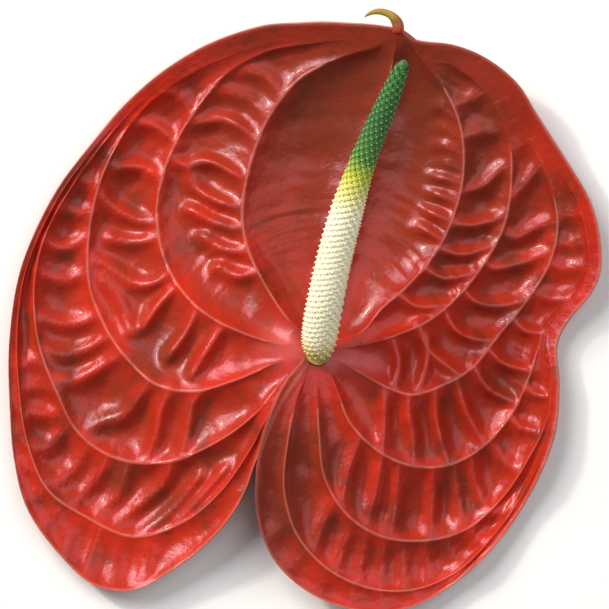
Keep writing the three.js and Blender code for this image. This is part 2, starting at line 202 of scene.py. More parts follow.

# %% [markdown]
# ## Smooth curves
#
# Veins are drawn as a few points each, and a Catmull-Rom curve runs smoothly through
# them. The centripetal kind is used, because it never loops or overshoots between points that
# stand close together.

# %% Curves through points


def catmull_rom(points, u):
    """Points at the shares u along each stretch, for points of shape (..., count, 3)."""
    before = 2 * points[..., :1, :] - points[..., 1:2, :]
    after = 2 * points[..., -1:, :] - points[..., -2:-1, :]
    padded = np.concatenate([before, points, after], axis=-2)
    p0, p1, p2, p3 = (padded[..., k:k + points.shape[-2] - 1, :] for k in range(4))
    gaps = [np.maximum(np.linalg.norm(b - a, axis=-1, keepdims=True), 1e-6) ** 0.5
            for a, b in ((p0, p1), (p1, p2), (p2, p3))]
    d0, d1, d2 = gaps
    m1 = d1 * ((p1 - p0) / d0 - (p2 - p0) / (d0 + d1) + (p2 - p1) / d1)
    m2 = d1 * ((p2 - p1) / d1 - (p3 - p1) / (d1 + d2) + (p3 - p2) / d2)
    u = np.asarray(u)[:, None]
    p1, p2, m1, m2 = (a[..., :, None, :] for a in (p1, p2, m1, m2))
    return (p1 * (1 - smooth(u)) + p2 * smooth(u)
            + m1 * u * (1 - u) ** 2 - m2 * u * u * (1 - u))


def polyline(points, per_stretch=24):
    """A close run of points along the smooth curve through a few."""
    points = np.array(points, float)
    if points.shape[1] == 2:
        points = np.hstack([points, np.zeros((len(points), 1))])
    inner = catmull_rom(points, np.arange(per_stretch) / per_stretch).reshape(-1, 3)
    return np.vstack([inner, points[-1:]])


def lengths(run):
    """Distance along a run of points, from its start."""
    return np.concatenate([[0], np.cumsum(np.linalg.norm(np.diff(run, axis=0), axis=1))])


def at_lengths(run, wanted):
    """The points at the wanted distances along a run."""
    along = lengths(run)
    return np.stack([np.interp(wanted, along, run[:, k]) for k in range(3)], axis=1)


print("a square corner, rounded, is", round(lengths(polyline([[0, 0], [1, 0], [1, 1]]))[-1], 2), "long")

# %% [markdown]
# ## The veins
#
# Strong veins leave the stalk like the ribs of a fan, swing out into the lobes and close again
# at the tip. Each is given by the angle at which it leaves and a route. The last of each side is
# the margin. Everything is measured in millimetres from the stalk.

# %% Collar, neck and midrib
COLLAR_RADIUS = 3.1  # the veins start on this ring round the stalk
COLLAR_Y = 1.8
NECK_HALF_WIDTH = 1.2  # they end side by side in the neck, under the curled tip
NECK_X = -1.2
NECK_Y = 80.5

MIDRIB = {"angle": 90, "route": [[0, 20], [0, 40], [0, 60]]}
print("midrib about", round(NECK_Y - COLLAR_Y - COLLAR_RADIUS), "mm long")

# %% Left veins
LEFT_VEINS = [
    {"angle": 120, "route": [
        [-8.5, 7.5], [-16.5, 14.5], [-22.5, 21.5], [-25.8, 29], [-27, 40], [-25.5, 53],
        [-20.5, 63.5], [-12, 70.8], [-5, 75.4]]},
    {"angle": 155, "route": [
        [-10.5, 1.5], [-20, 2], [-29, 4.3], [-37, 9.5], [-43, 17.5], [-46, 27], [-46, 37.5],
        [-43, 49], [-38, 59.5], [-30.5, 67], [-19.8, 72.2], [-8.5, 76.4]]},
    {"angle": 185, "route": [
        [-9, -3], [-18, -10], [-26, -14.5], [-35, -15.2], [-43.5, -11], [-51, -4.5], [-57, 4.5],
        [-60, 17], [-60, 30], [-57, 42], [-51.5, 51.8], [-43, 60.6], [-31.3, 68.8], [-18.5, 74.2],
        [-8, 77.2]]},
    {"angle": 210, "route": [
        [-7, -8], [-11, -16.5], [-18, -25], [-27.5, -32.2], [-39, -34.7], [-49.5, -31.5],
        [-57.5, -23], [-64.5, -13], [-69, 0], [-69.5, 12], [-66.5, 24.5], [-62.5, 34.9],
        [-57.6, 45.4], [-50.5, 55.7], [-41.7, 64.5], [-31, 71.2], [-18.4, 75.4], [-8, 77.8]]},
    {"angle": 225, "route": [
        [-6.5, -11], [-9.5, -24], [-14, -36], [-21, -45.5], [-31, -51.5], [-43, -50], [-53.5, -46],
        [-61, -36.5], [-66, -25], [-69.8, -13], [-71.8, 0.5], [-70.8, 12.4], [-67.8, 24.6],
        [-63.4, 35.3], [-58.4, 45.9], [-51.2, 56.4], [-42.4, 65.2], [-31.5, 72], [-18.6, 76.3],
        [-8, 78.6]]},
    {"angle": 238, "route": [
        [-5.5, -12], [-7.5, -26], [-8.7, -36.5], [-13, -47], [-20.5, -57], [-28, -63.7], [-37, -65],
        [-47, -60], [-57, -51.5], [-63, -41], [-67.5, -28], [-71, -15.5], [-73, 0], [-72, 12],
        [-69, 24.5], [-64.3, 35.7], [-59.3, 46.4], [-52, 57], [-43, 66], [-32, 72.9], [-24, 75.6],
        [-18.4, 77.2], [-12.6, 78.5], [-7.5, 79.5]]},
]

# %% Right veins
RIGHT_VEINS = [
    {"angle": 60, "route": [
        [8.5, 9], [12, 16], [17, 23.5], [20.8, 32], [22.5, 41], [22.3, 51], [19, 61.5], [13, 69.3],
        [6, 74.8]]},
    {"angle": 30, "route": [
        [8, 5.5], [16, 10], [23, 15.5], [28.5, 23], [32.5, 32], [34.8, 42], [33.5, 54],
        [29.5, 64.2], [22.5, 71.6], [14, 75.2], [6.5, 76]]},
    {"angle": 0, "route": [
        [9, 0.3], [17.5, -1.8], [24, -2], [30.5, 2], [36, 7.5], [40, 16], [44.5, 26], [47.5, 36],
        [47, 46], [41.6, 56.3], [34, 65], [25.9, 72.4], [17.8, 76.2], [12, 76.9], [6.5, 76.7]]},
    {"angle": -35, "route": [
        [6.5, -5.5], [12, -12.5], [20, -17], [28.5, -18.3], [37, -15.8], [44, -9], [48.3, 0],
        [49.8, 9], [50.2, 16], [50.8, 21.6], [53.3, 26.8], [55.9, 32], [56.6, 37.6], [55, 43.5],
        [50.8, 51.1], [43.2, 58.7], [34.2, 66.8], [27.4, 73.2], [19.4, 77.2], [12, 77.9],
        [6.2, 77.3]]},
    {"angle": -75, "route": [
        [2.8, -9], [5.5, -17.5], [9, -26], [16, -33], [25, -36.2], [35, -35], [44.5, -29.8],
        [51, -20.5], [54.8, -9], [56.5, 1.5], [54.6, 11], [51.6, 18.9], [52.3, 22.6], [54.4, 27.4],
        [56.9, 32.4], [57.6, 37.6], [55.8, 43.8], [51.6, 51.6], [43.8, 59.4], [34.8, 67.4],
        [27.9, 73.9], [19.6, 77.9], [12, 78.5], [6, 77.8]]},
    {"angle": -110, "route": [
        [-2, -9], [-1.5, -20], [0.5, -31], [6, -40.5], [15, -46.7], [26, -48.8], [36.5, -46.5],
        [45, -40], [52, -28], [56.4, -14.6], [57.8, -2.2], [55.8, 9.8], [52.8, 18.8], [53.8, 23.8],
        [55.7, 28.2], [57.9, 32.4], [58.5, 37.4], [56.7, 44.2], [52.3, 52.2], [44.4, 60],
        [35.4, 68], [28.5, 74.5], [19.8, 78.5], [12, 79.2], [5.5, 78.2]]},
    {"angle": -145, "route": [
        [-6, -8], [-7.3, -20], [-6.8, -28], [-3.8, -39], [2, -47.5], [10, -52.5], [20, -54.7],
        [31, -53.6], [40, -48.3], [48, -38.8], [54, -27.5], [57.8, -14], [58.9, -2], [57, 9],
        [54, 18.8], [55.4, 25], [58.5, 31.5], [59.4, 37], [57.5, 44.5], [53, 52.7], [45, 60.7],
        [36, 68.7], [29, 75.2], [20, 79.1], [12, 79.9], [5, 78.8], [2.4, 78.8]]},
]
print(len(LEFT_VEINS), "veins on the left,", len(RIGHT_VEINS), "on the right")

# %% [markdown]
# ## How high the veins stand
#
# The blade is a shallow cup whose hollows touch the table, with its margins raised. Its heights
# are known at a few dozen places, and a thin plate bent through them gives the rest, so that
# neighbouring veins never disagree. The lobes overlap by the stalk, so each half has its own plate.

# %% Known heights
MIDRIB_HEIGHTS = [
    [0, 4.9, 10.3], [0, 20, 7.6], [0, 40, 5.8], [0, 60, 7.6], [0, 72, 10.5], [-1.2, 80, 13.4],
]
LEFT_HEIGHTS = [
    [-3, 1.5, 10.5], [-1.7, -0.9, 10.2], [-4.2, -8, 12.2], [-16, 14, 8.8], [-27, 40, 6.4],
    [-20, 63, 8.4], [-29, 4, 9], [-46, 27, 3.6], [-43, 49, 4.8], [-30, 67.5, 7.8], [-18, -10, 11],
    [-35, -15, 8], [-51, -4.5, 4.2], [-60, 17, 3.2], [-57.5, 42, 4.6], [-44, 62, 7],
    [-19, 75.6, 10.5], [-11, -16, 12], [-27.5, -32, 7.2], [-49.5, -31.5, 3.2], [-69, 0, 4.6],
    [-66.5, 25, 5.6], [-14, -36, 10], [-21, -45.5, 6.2], [-43, -50, 3.3], [-61, -36.5, 4.4],
    [-72, 1, 5.6], [-5.5, -12, 13.2], [-7.5, -26, 12.8], [-8.7, -36.5, 11.4], [-13, -47, 9.4],
    [-20.5, -57, 7], [-37, -65, 5.4], [-57, -51.5, 5.6], [-67.5, -28, 5.8], [-73.2, 0, 5.6],
    [-69, 24.5, 6.2], [-64.3, 35.7, 6.6], [-52, 57, 8], [-32, 73.2, 10.4], [-19, 77, 11.6],
    [-8, 79.4, 12.8],
]
RIGHT_HEIGHTS = [
    [3, 1.5, 10.6], [-2.6, 0, 12.4], [-1.1, -1.2, 11.7], [0.8, -1.3, 11.1], [12, 16, 8.8],
    [22.5, 41, 6.4], [19, 61.5, 8.2], [16, 10, 9.4], [32.5, 32, 4.6], [33.5, 54, 5.8],
    [22.5, 73, 9.8], [24, -2, 9.8], [36, 7.5, 6], [44.5, 26, 2.3], [47, 46, 4.2], [35, 66, 7.4],
    [5.5, -6, 11.2], [20, -17, 10.2], [37, -15.8, 5.2], [48.3, 0, 2.8], [51, 20, 3],
    [56.3, 38, 5.8], [44.5, 58.4, 7], [27.5, 74.6, 10.2], [5.5, -17.5, 12.4], [9, -26, 11.4],
    [16, -33, 9.8], [35, -35, 4.6], [51, -20.5, 2.8], [54.6, 3, 4.2], [52.4, 21, 3.8],
    [57.8, 38, 6.4], [-1.5, -20, 14.6], [0.5, -31, 13], [6, -40.5, 10.8], [15, -46.7, 8.8],
    [26, -48.8, 6.4], [45, -40, 3.8], [56.3, -15, 4.6], [57.2, -2, 5.2], [-6, -8, 15.4],
    [-2, -9, 13.6], [2.8, -9, 12.2], [-6.4, -12, 16.2], [-7.3, -20, 16.8], [-6.8, -28, 16.2],
    [-3.8, -39, 13.4], [2, -47.5, 11], [20, -54.7, 7.8], [31, -53.6, 6.4], [48, -38.8, 4.8],
    [57.8, -14, 5.4], [58.9, -2, 6], [57, 9, 5.8], [54, 18.8, 4.8], [59.4, 37, 7.2],
    [53, 52.7, 7.6], [36, 68.7, 9], [20, 79.2, 11], [4.5, 78.8, 12.8],
]
print(len(MIDRIB_HEIGHTS + LEFT_HEIGHTS + RIGHT_HEIGHTS), "places")

# %% Bent plates
PLATE_EASE = 1.5  # the larger it is, the further the plate may pass beside its known places


def bent_plate(places):
    """A thin plate bent to pass close to known places: gives the height at any x and y."""
    places = np.array(places, float)

    def bend(x, y):
        x, y = np.asarray(x)[..., None], np.asarray(y)[..., None]
        squared = (x - places[:, 0]) ** 2 + (y - places[:, 1]) ** 2
        return 0.5 * squared * np.log(np.maximum(squared, 1e-12))

    count = len(places)
    level = np.column_stack([np.ones(count), places[:, :2]])
    system = np.zeros((count + 3, count + 3))
    system[:count, :count] = bend(places[:, 0], places[:, 1]) + PLATE_EASE * np.eye(count)
    system[:count, count:] = level
    system[count:, :count] = level.T
    weights = np.linalg.solve(system, np.append(places[:, 2], [0, 0, 0]))

    def height(x, y):
        tilted = weights[count] + weights[count + 1] * x + weights[count + 2] * y
        return bend(x, y) @ weights[:count] + tilted
    return height


left_plate = bent_plate(MIDRIB_HEIGHTS + LEFT_HEIGHTS)
right_plate = bent_plate(MIDRIB_HEIGHTS + RIGHT_HEIGHTS)
print("midrib's lowest point", round(float(left_plate(np.zeros(60), np.arange(60.0)).min()), 1), "mm up")

# %% [markdown]
# ## The ribs between the veins
#
# Finer ribs tie one vein to the next, and the skin between them sags like cloth between ropes.
# They are as irregular as the creases of a hand, so they too are drawn one by one, panel by panel.

# %% Left ribs
LEFT_RIBS = [
    # first to second vein from the midrib
    [[-26.4, 46.4], [-31, 48.5], [-35.5, 49.6], [-42, 47]],
    [[-44, 37], [-41, 36.4], [-37.5, 39], [-28, 37]],
    [[-40.5, 36], [-38.6, 32.5], [-33, 30.4], [-27.5, 30]],
    [[-38, 27], [-33, 25.5], [-26.5, 25]],
    [[-33.5, 21.5], [-28, 19.6], [-22.5, 20.5]],
    [[-28, 15.5], [-23, 14.5], [-19, 16.2]],
    [[-37.5, 56], [-31, 55.5], [-25.5, 52.5]],
    [[-33.5, 62], [-28, 61.5], [-23.5, 58]],
    # second to third
    [[-60, 25], [-56, 22.5], [-50, 21.2], [-45, 21.5]],
    [[-59, 9.3], [-55, 9.3], [-51, 8], [-46, 6.4], [-42, 7.5], [-39.3, 10.7]],
    [[-54, 5.5], [-50, 3], [-47.5, 0], [-44, -4.5]],
    [[-45, 17.5], [-50, 15.5], [-54.5, 15.2]],
    [[-37, 7.5], [-39.5, 3], [-41.5, -3]],
    [[-30.5, 3.5], [-31.5, -2], [-34, -8]],
    [[-23.5, 1.5], [-25.5, -4.5], [-27.5, -11]],
    [[-46.3, 32], [-52, 33.5], [-57.5, 32]],
    [[-45, 41], [-50.5, 43.5], [-56.5, 43.5]],
    [[-43, 48.5], [-48, 52.5], [-52.5, 52]],
    # third to fourth
    [[-69, 11], [-65, 10], [-60.5, 13]],
    [[-69.3, 3.5], [-66, 2.7], [-62, 3], [-58, 6]],
    [[-66.5, -7], [-60, -7.2], [-55.5, -5.5], [-52.5, -3]],
    [[-59.5, -20.5], [-54, -19.5], [-50, -16], [-45, -10.5]],
    [[-49, -31.5], [-45, -27], [-41, -25], [-39, -21], [-37, -15.5]],
    [[-64.5, 27], [-60, 25.5]],
    [[-67.5, 19.5], [-63.5, 19], [-60.3, 20]],
    [[-63, -14], [-58.5, -14.2], [-53, -11.5], [-49, -7]],
    [[-33, -33.5], [-32, -28], [-32.5, -21], [-31.5, -15]],
    [[-25, -30], [-25, -24], [-25.5, -17], [-24.5, -14]],
    # fourth to fifth
    [[-68, -19], [-63.5, -17.5], [-61, -18.5]],
    [[-66, -24.5], [-60, -22.5], [-57.5, -23]],
    [[-63.5, -29.5], [-58, -29.2], [-54.5, -28]],
    [[-61, -37], [-56, -36], [-53.3, -30.5]],
    [[-55.5, -44.5], [-51.5, -43], [-48.5, -39], [-47, -33]],
    [[-41, -50], [-39, -46], [-36.8, -42], [-37, -34.8]],
    [[-36, -50.5], [-31, -43], [-27.5, -37.5], [-27, -32.2]],
    [[-29, -50.3], [-23.5, -42.5], [-19.5, -33.5]],
    [[-22, -45.5], [-18, -38], [-14, -30]],
    [[-47.5, -48], [-44.5, -43.5], [-42.5, -38.5], [-42, -34.8]],
    # rim
    [[-67.5, -27], [-63, -31]], [[-64.5, -35], [-60.5, -37.5]], [[-61.8, -41.5], [-58, -42.5]],
    [[-57.5, -49.5], [-54, -45.8]], [[-52.5, -55], [-49.5, -48.5]], [[-46.5, -59.5], [-44.5, -50.5]],
    [[-40, -63], [-39.5, -55], [-39, -51]], [[-33, -63.5], [-33.5, -56], [-33.5, -51.5]],
    [[-26, -60], [-27, -54], [-27.5, -50.5]],
]
print(len(LEFT_RIBS), "ribs on the left")

# %% Right ribs
RIGHT_RIBS = [
    # midrib to first vein
    [[13, 65.8], [17, 63.8]], [[15, 61], [19.3, 59.8]], [[16, 56.8], [21, 56]],
    [[17.5, 53], [21.8, 52.6]], [[17.2, 49.4], [22.5, 49.2]], [[17.8, 45.3], [22.6, 44.6]],
    [[17.5, 40.8], [22.3, 39.8]], [[16.5, 36.5], [21.5, 35]],
    # first to second
    [[22.5, 47], [27.5, 50], [30, 54], [32.5, 56.5]],
    [[22.7, 39.5], [28, 40.5], [34.5, 44.5]],
    [[21.7, 33], [27, 33], [33.5, 37]],
    [[19.5, 27.5], [24.5, 26.5], [31.5, 30]],
    [[20, 60], [25, 62.5], [30, 64]],
    [[15, 20], [19.5, 18.5], [26.5, 20.5]],
    [[16, 66.5], [19.5, 69], [22, 71.5]],
    # second to third
    [[34.8, 49], [37, 53], [39.8, 59.5]],
    [[34.7, 41], [38, 40], [42.5, 44], [47, 46.5]],
    [[32.8, 33], [35, 31.8], [39, 33.5], [46.5, 38.5]],
    [[30, 24.8], [33, 23], [38.5, 23.5], [44.5, 26.5]],
    [[26.2, 19.5], [30, 15.5], [35, 14.5], [39.5, 15.5]],
    [[21.5, 14], [24.5, 9.5], [29.5, 7], [34, 5.2]],
    [[31.5, 60], [34.5, 62.5], [36.5, 64.5]],
    [[28.5, 65], [31.5, 67.5]], [[25, 69.3], [27.5, 71.5]],
    [[24, 12], [25.5, 6], [25, -1.5]],
    [[16, 9.5], [19, 4.5], [19.5, -1.5]],
    # third to fourth
    [[46.5, 48], [50, 49], [53.5, 50.5]],
    [[47.4, 37], [51, 36], [56, 38.5]],
    [[45.5, 29], [50, 28.3], [54, 29.5]],
    [[42.5, 21.5], [46, 19.5], [50.8, 20]],
    [[38.8, 13], [43.5, 10.5], [49.5, 10.5]],
    [[36.5, 8.5], [41, 4], [48.5, 2.2]],
    [[33.2, 4.2], [37, -2], [43.5, -9]],
    [[29, 0.8], [31, -6], [36.5, -15.8]],
    [[23, -2], [24.5, -7], [27, -12], [28.5, -18]],
    [[17, -1.8], [18.5, -7], [20.5, -16.5]],
    [[46.8, 42.5], [51, 42], [56, 44]],
    # fourth to fifth
    [[20.5, -17.3], [21.5, -25], [21.5, -35.5]],
    [[25, -18.5], [26.5, -25], [28, -35.8]],
    [[33.3, -17.5], [35, -24], [37, -34]],
    [[38, -15], [39.8, -20], [43.5, -30]],
    [[41.5, -13], [44, -18.5], [48.5, -24.5]],
    [[45, -8], [49.5, -12], [53.5, -13]],
    [[48, -1.5], [51, -3], [54.5, -3]],
    [[49.3, 6.5], [52, 5.5], [54.3, 5.5]],
    [[14.5, -15], [14, -23], [14.5, -31]],
    # fifth to sixth
    [[18, -34.8], [17.5, -41], [17.5, -47.5]],
    [[22, -36], [22.5, -42], [23, -48.3]],
    [[26.5, -36.2], [27.5, -42], [28.5, -48.6]],
    [[31, -35.8], [32.5, -41.5], [34, -47]],
    [[36, -34.5], [38, -40], [40, -44.5]],
    [[40.5, -32.3], [43, -36.5], [45.5, -39.5]],
    [[45.5, -29], [48.5, -31.5], [51, -30]],
    [[13, -30.5], [11.5, -36], [11, -44]],
    [[49, -24], [53, -23.5], [54.5, -20.5]],
    # rim
    [[9, -43.5], [6.5, -48.5]], [[15, -46.8], [14, -52]], [[22, -48.3], [22.5, -53.5]],
    [[29, -48.6], [30.5, -53]], [[36, -46.8], [38.5, -49]], [[43, -42], [46, -42.5]],
    [[3.5, -37.5], [0.5, -43]],
]
rib_runs = [polyline(rib, 4) for rib in LEFT_RIBS + RIGHT_RIBS]
print(len(RIGHT_RIBS), "ribs on the right")

# %% [markdown]
# ## The shape of the blade
#
# The blade is a sheet of rows and columns that follow the veins: a column runs with the veins
# from the stalk to the tip, and a row crosses them. Between two veins the sheet sags, steeply
# beside the vein and flatly in the middle. A rib lifts it nearly back to the veins' level.

# %% Rows and columns
SCOOP_SHARE = 0.19  # depth of the hollow between two narrow-set veins, as a share of its width
SCOOP_DEPTH = 3.2  # the most that the widest hollow comes to
LOWEST_CREST = 0.5
PANEL_COLUMNS = 20
ROWS = 290
RUN_POINTS = 600


def vein_run(vein, side, share, height_at):
    """A vein's crest as close points, each with its share of the vein's length in plan."""
    angle = math.radians(vein["angle"])
    start = [COLLAR_RADIUS * math.cos(angle), COLLAR_Y + COLLAR_RADIUS * math.sin(angle)]
    end = [NECK_X + side * share * NECK_HALF_WIDTH, NECK_Y - 0.4 * share]
    flat = polyline([start, *vein["route"], end], 40)
    share_along = np.arange(RUN_POINTS + 1) / RUN_POINTS
    points = at_lengths(flat, lengths(flat)[-1] * share_along)
    points[:, 2] = np.maximum(height_at(points[:, 0], points[:, 1]), LOWEST_CREST)
    return share_along, points


def on_run(run, wanted):
    """The points of a crest at the wanted shares of its length."""
    return np.stack([np.interp(wanted, run[0], run[1][:, k]) for k in range(3)], axis=-1)


midrib_run = vein_run(MIDRIB, 0, 0, left_plate)
left_runs, right_runs = (
    [midrib_run] + [vein_run(vein, side, (i + 1) / len(veins), plate) for i, vein in enumerate(veins)]
    for veins, side, plate in ((LEFT_VEINS, -1, left_plate), (RIGHT_VEINS, 1, right_plate)))
print("margins", [round(lengths(runs[-1][1])[-1]) for runs in (left_runs, right_runs)], "mm long")

# %% [markdown]
# Rows should cross the veins squarely, or the hollows between them come out skewed. So a row's
# place on the next vein out is mostly the nearest one to its place on this vein. Trial rows are
# evened out so that no two run together, and the real rows are then spaced along them.

# %% Squaring the rows
TRIAL_ROWS = 480
SQUARENESS = 0.8
EVENING_ROWS = 16


def match_outwards(run, places, next_run):
    """The places on the next vein out that face these places on this one."""
    last = len(places) - 1
    begin = 0
    nearest = []
    for j, here in enumerate(on_run(run, places)):
        there = next_run[1][begin:begin + RUN_POINTS // 4]
        begin += int(np.argmin(np.hypot(there[:, 0] - here[0], there[:, 1] - here[1])))
        squarely = 1.0 if j == last else next_run[0][begin]
        nearest.append(SQUARENESS * squarely + (1 - SQUARENESS) * places[j])
    even_places = []
    for j in range(last + 1):
        reach = min(EVENING_ROWS, j, last - j)
        even_places.append(np.mean(nearest[j - reach:j + reach + 1]))
    return np.array(even_places)


def crossings(runs):
    """Where each trial row crosses each vein of one half."""
    found = [np.arange(TRIAL_ROWS + 1) / TRIAL_ROWS]
    for run, next_run in zip(runs, runs[1:]):
        found.append(match_outwards(run, found[-1], next_run))
    return found


left_places, right_places = crossings(left_runs), crossings(right_runs)
trial = [on_run(run, places) for run, places in
         zip(left_runs + right_runs, left_places + right_places)]
widest = np.max([np.linalg.norm(np.diff(line, axis=0), axis=1) for line in trial], axis=0)
travelled = np.concatenate([[0], np.cumsum(widest)])
row_places = np.interp(np.arange(ROWS + 1) * travelled[-1] / ROWS, travelled, np.arange(TRIAL_ROWS + 1))
print("rows stand", round(travelled[-1] / ROWS, 2), "mm apart where they spread widest")

# %% [markdown]
# Each half is now filled in, panel by panel, along curves that run smoothly across the veins. The
# columns stand closer together beside a vein, where the skin bends most. The two halves are then
# laid side by side, and share the midrib.

# %% Blade grid
even = np.arange(PANEL_COLUMNS) / PANEL_COLUMNS
shares = 0.5 * even + 0.5 * (0.5 - 0.5 * np.cos(math.pi * even))  # closer together beside the veins


def half_blade(runs, places, side):
    """One half's points before they sag, with each one's share across its panel and panel width."""
    crests = np.stack([on_run(run, np.interp(row_places, np.arange(TRIAL_ROWS + 1), found))
                       for run, found in zip(runs, places)], axis=1)
    panels = len(runs) - 1
    across = catmull_rom(crests, shares)
    width = np.linalg.norm(np.diff(crests, axis=1), axis=2)[:, :, None] * np.ones(PANEL_COLUMNS)
    share = np.broadcast_to(shares, width.shape)
    count = panels * PANEL_COLUMNS
    points = np.concatenate([across.reshape(ROWS + 1, count, 3), crests[:, -1:]], axis=1)
    width = np.concatenate([width.reshape(ROWS + 1, count), width[:, -1, -1:]], axis=1)
    share = np.concatenate([share.reshape(ROWS + 1, count), np.zeros((ROWS + 1, 1))], axis=1)
    panel = np.repeat(np.arange(panels), PANEL_COLUMNS).astype(float)
    panel = np.append(panel, panels) * side + side * np.append(np.tile(shares, panels), 0)
    return points, width, share, panel


left = half_blade(left_runs, left_places, -1)
right = half_blade(right_runs, right_places, 1)
points, width, share = (np.concatenate([a[:, :0:-1], b], axis=1) for a, b in list(zip(left, right))[:3])
panel = np.concatenate([left[3][:0:-1], right[3]])
print("blade grid", points.shape[:2])

# %% [markdown]
# ## Distances
#
# Distances to the nearest rib, vein and margin steer both the shape and the colours, so they are
# measured once for every point.

# %% Distances
FAR = 9.0
LOOK_ROUND = 12  # points further than this from a line don't count as near it


def distance_to(runs, xy):
    """Distance in plan from each point to the nearest of some lines."""
    nearest = np.full(len(xy), 1e3)
    for run in runs:
        low, high = run[:, :2].min(0) - LOOK_ROUND, run[:, :2].max(0) + LOOK_ROUND
        near = np.nonzero(((xy > low) & (xy < high)).all(1))[0]
        if not len(near):
            continue
        a, b = run[:-1, :2], run[1:, :2]
        step = b - a
        offset = xy[near][:, None] - a
        u = np.clip((offset * step).sum(2) / np.maximum((step * step).sum(1), 1e-9), 0, 1)
        gap = np.linalg.norm(offset - u[:, :, None] * step, axis=2).min(1)
        nearest[near] = np.minimum(nearest[near], gap)
    return nearest


flat_xy = points[:, :, :2].reshape(-1, 2)
rib_gap = distance_to(rib_runs, flat_xy).reshape(share.shape)
vein_gap = np.minimum(share, 1 - share) * width
vein_gap[:, [0, -1]] = FAR  # the margins are coloured as an edge, not as veins
edge_gap = distance_to([points[:, 0], points[:, -1]], flat_xy).reshape(share.shape)
arc = np.vstack([np.zeros((1, share.shape[1])),
                 np.cumsum(np.linalg.norm(np.diff(points, axis=0), axis=2), axis=0)])
print("nearest rib, mean", round(float(np.minimum(rib_gap, 20).mean()), 2), "mm")

# %% [markdown]
# ## Sag
#
# The skin hangs lowest in the middle of a panel. Beside a rib it is held up, and where the veins
# close up it has no room to sag. The outermost panel of each side is flatter than the others,
# which gives the flower its thin, plain rim.

# %% Sag
SAG = 1.32  # the skin's hollows are deeper than the solid model's, because the ribs fill them in
RIM_SAG = 0.6
RIB_LIFT = 0.92
RIB_REACH = 1.6

hollow = 1 - np.abs(2 * share - 1) ** 2.3
rib_lift = RIB_LIFT * np.exp(-(rib_gap / RIB_REACH) ** 1.8)
open_up = smooth(rise(width, 2.5, 5))
rim = np.where(panel < 0, -panel > len(LEFT_VEINS) - 1, panel > len(RIGHT_VEINS) - 1)
fullest = SAG * np.where(rim, RIM_SAG, 1.0) * SCOOP_DEPTH * np.tanh(SCOOP_SHARE * width / SCOOP_DEPTH)
depth = fullest * open_up * hollow * (1 - rib_lift)
print("deepest hollow", round(float(depth.max()), 2), "mm")

# %% [markdown]
# ## Waves and creases
#
# Slow waves and lumps make each hollow different, and fine creases run across each panel, mostly
# in its outer half. A light smoothing then rounds every fold, because wax has no sharp edges. The
# veins' own thin ridges come last, so that they stay crisp.

# %% Waves and creases
WAVE = (4.2, 0.42)  # each is a length along or across the blade, and a height
LUMP = (7.0, 0.6)
PIMPLE = (2.6, 0.08)
CREASE = (1.6, 0.55)
VEIN_RIDGE = (0.4, 0.16)


def waves(x, y, seed):
    """Smooth noise from -1 to 1, the same on every run."""
    flat = np.array([noise.noise(Vector((a, b, seed))) for a, b in zip(x.ravel(), y.ravel())])
    return flat.reshape(x.shape)


x_mm, y_mm = points[:, :, 0], points[:, :, 1]
from_stem = np.hypot(x_mm, y_mm)
room = rise(width, 3, 6)
wave = waves(arc / WAVE[0], np.broadcast_to(panel * 1.1, arc.shape), 3.0)
lump = waves(x_mm / LUMP[0], y_mm / LUMP[0], 11.0)
relief = -depth + room * hollow ** 0.5 * (WAVE[1] * wave + LUMP[1] * lump)
pimples = waves(x_mm / PIMPLE[0], y_mm / PIMPLE[0], 23.0)
relief += PIMPLE[1] * pimples * rise(edge_gap, 0, 3) * room
creases = waves(arc / CREASE[0], np.broadcast_to(panel * 0.9, arc.shape), 37.0)
creases = np.maximum(creases, -0.15) * smooth(rise(share, 0.25, 0.4)) * hollow ** 0.5
relief += CREASE[1] * creases * rise(width, 2.2, 2.5) * smooth(rise(from_stem, 22, 14))
relief[1:-1] = (relief[:-2] + 2 * relief[1:-1] + relief[2:]) / 4
relief[:, 1:-1] = (relief[:, :-2] + 2 * relief[:, 1:-1] + relief[:, 2:]) / 4
relief += VEIN_RIDGE[1] * hump(vein_gap, 0, VEIN_RIDGE[0]) * open_up
surface = points.copy()
surface[:, :, 2] = np.maximum(surface[:, :, 2] + relief, LOWEST_CREST)
print("relief from", round(float(relief.min()), 2), "to", round(float(relief.max()), 2), "mm")

# %% [markdown]
# ## From rows to a closed sheet
#
# The underside lies one thickness below the upper face, measured squarely to the bent plate, with
# every second row and column, because nobody looks for fine relief there. Five-sided faces join
# the two along the rim, so the sheet is closed.

# %% Making a piece


def mesh_object(name, vertices, faces):
    """A new object from points in millimetres, measured from the stalk."""
    mesh = bpy.data.meshes.new(name)
    mesh.from_pydata([tuple(v) for v in (np.asarray(vertices) + STEM) * MM], [], faces)
    mesh.update()
    mesh.polygons.foreach_set("use_smooth", [True] * len(mesh.polygons))
    piece = bpy.data.objects.new(name, mesh)
    bpy.context.scene.collection.objects.link(piece)
    return piece


def add_value(piece, name, values):
    """Keeps a number for each point on the mesh, for the finish to read."""
    layer = piece.data.attributes.new(name, "FLOAT", "POINT")
    layer.data.foreach_set("value", np.asarray(values, dtype=np.float32))


# %% Underside
THICKNESS = 0.9


def upward(height_at, x, y):
    """The bent plate's upward normals."""
    slope_x = height_at(x + 0.5, y) - height_at(x - 0.5, y)
    slope_y = height_at(x, y + 0.5) - height_at(x, y - 0.5)
    normal = np.stack([-slope_x, -slope_y, np.ones_like(x)], axis=-1)
    return normal / np.linalg.norm(normal, axis=-1, keepdims=True)


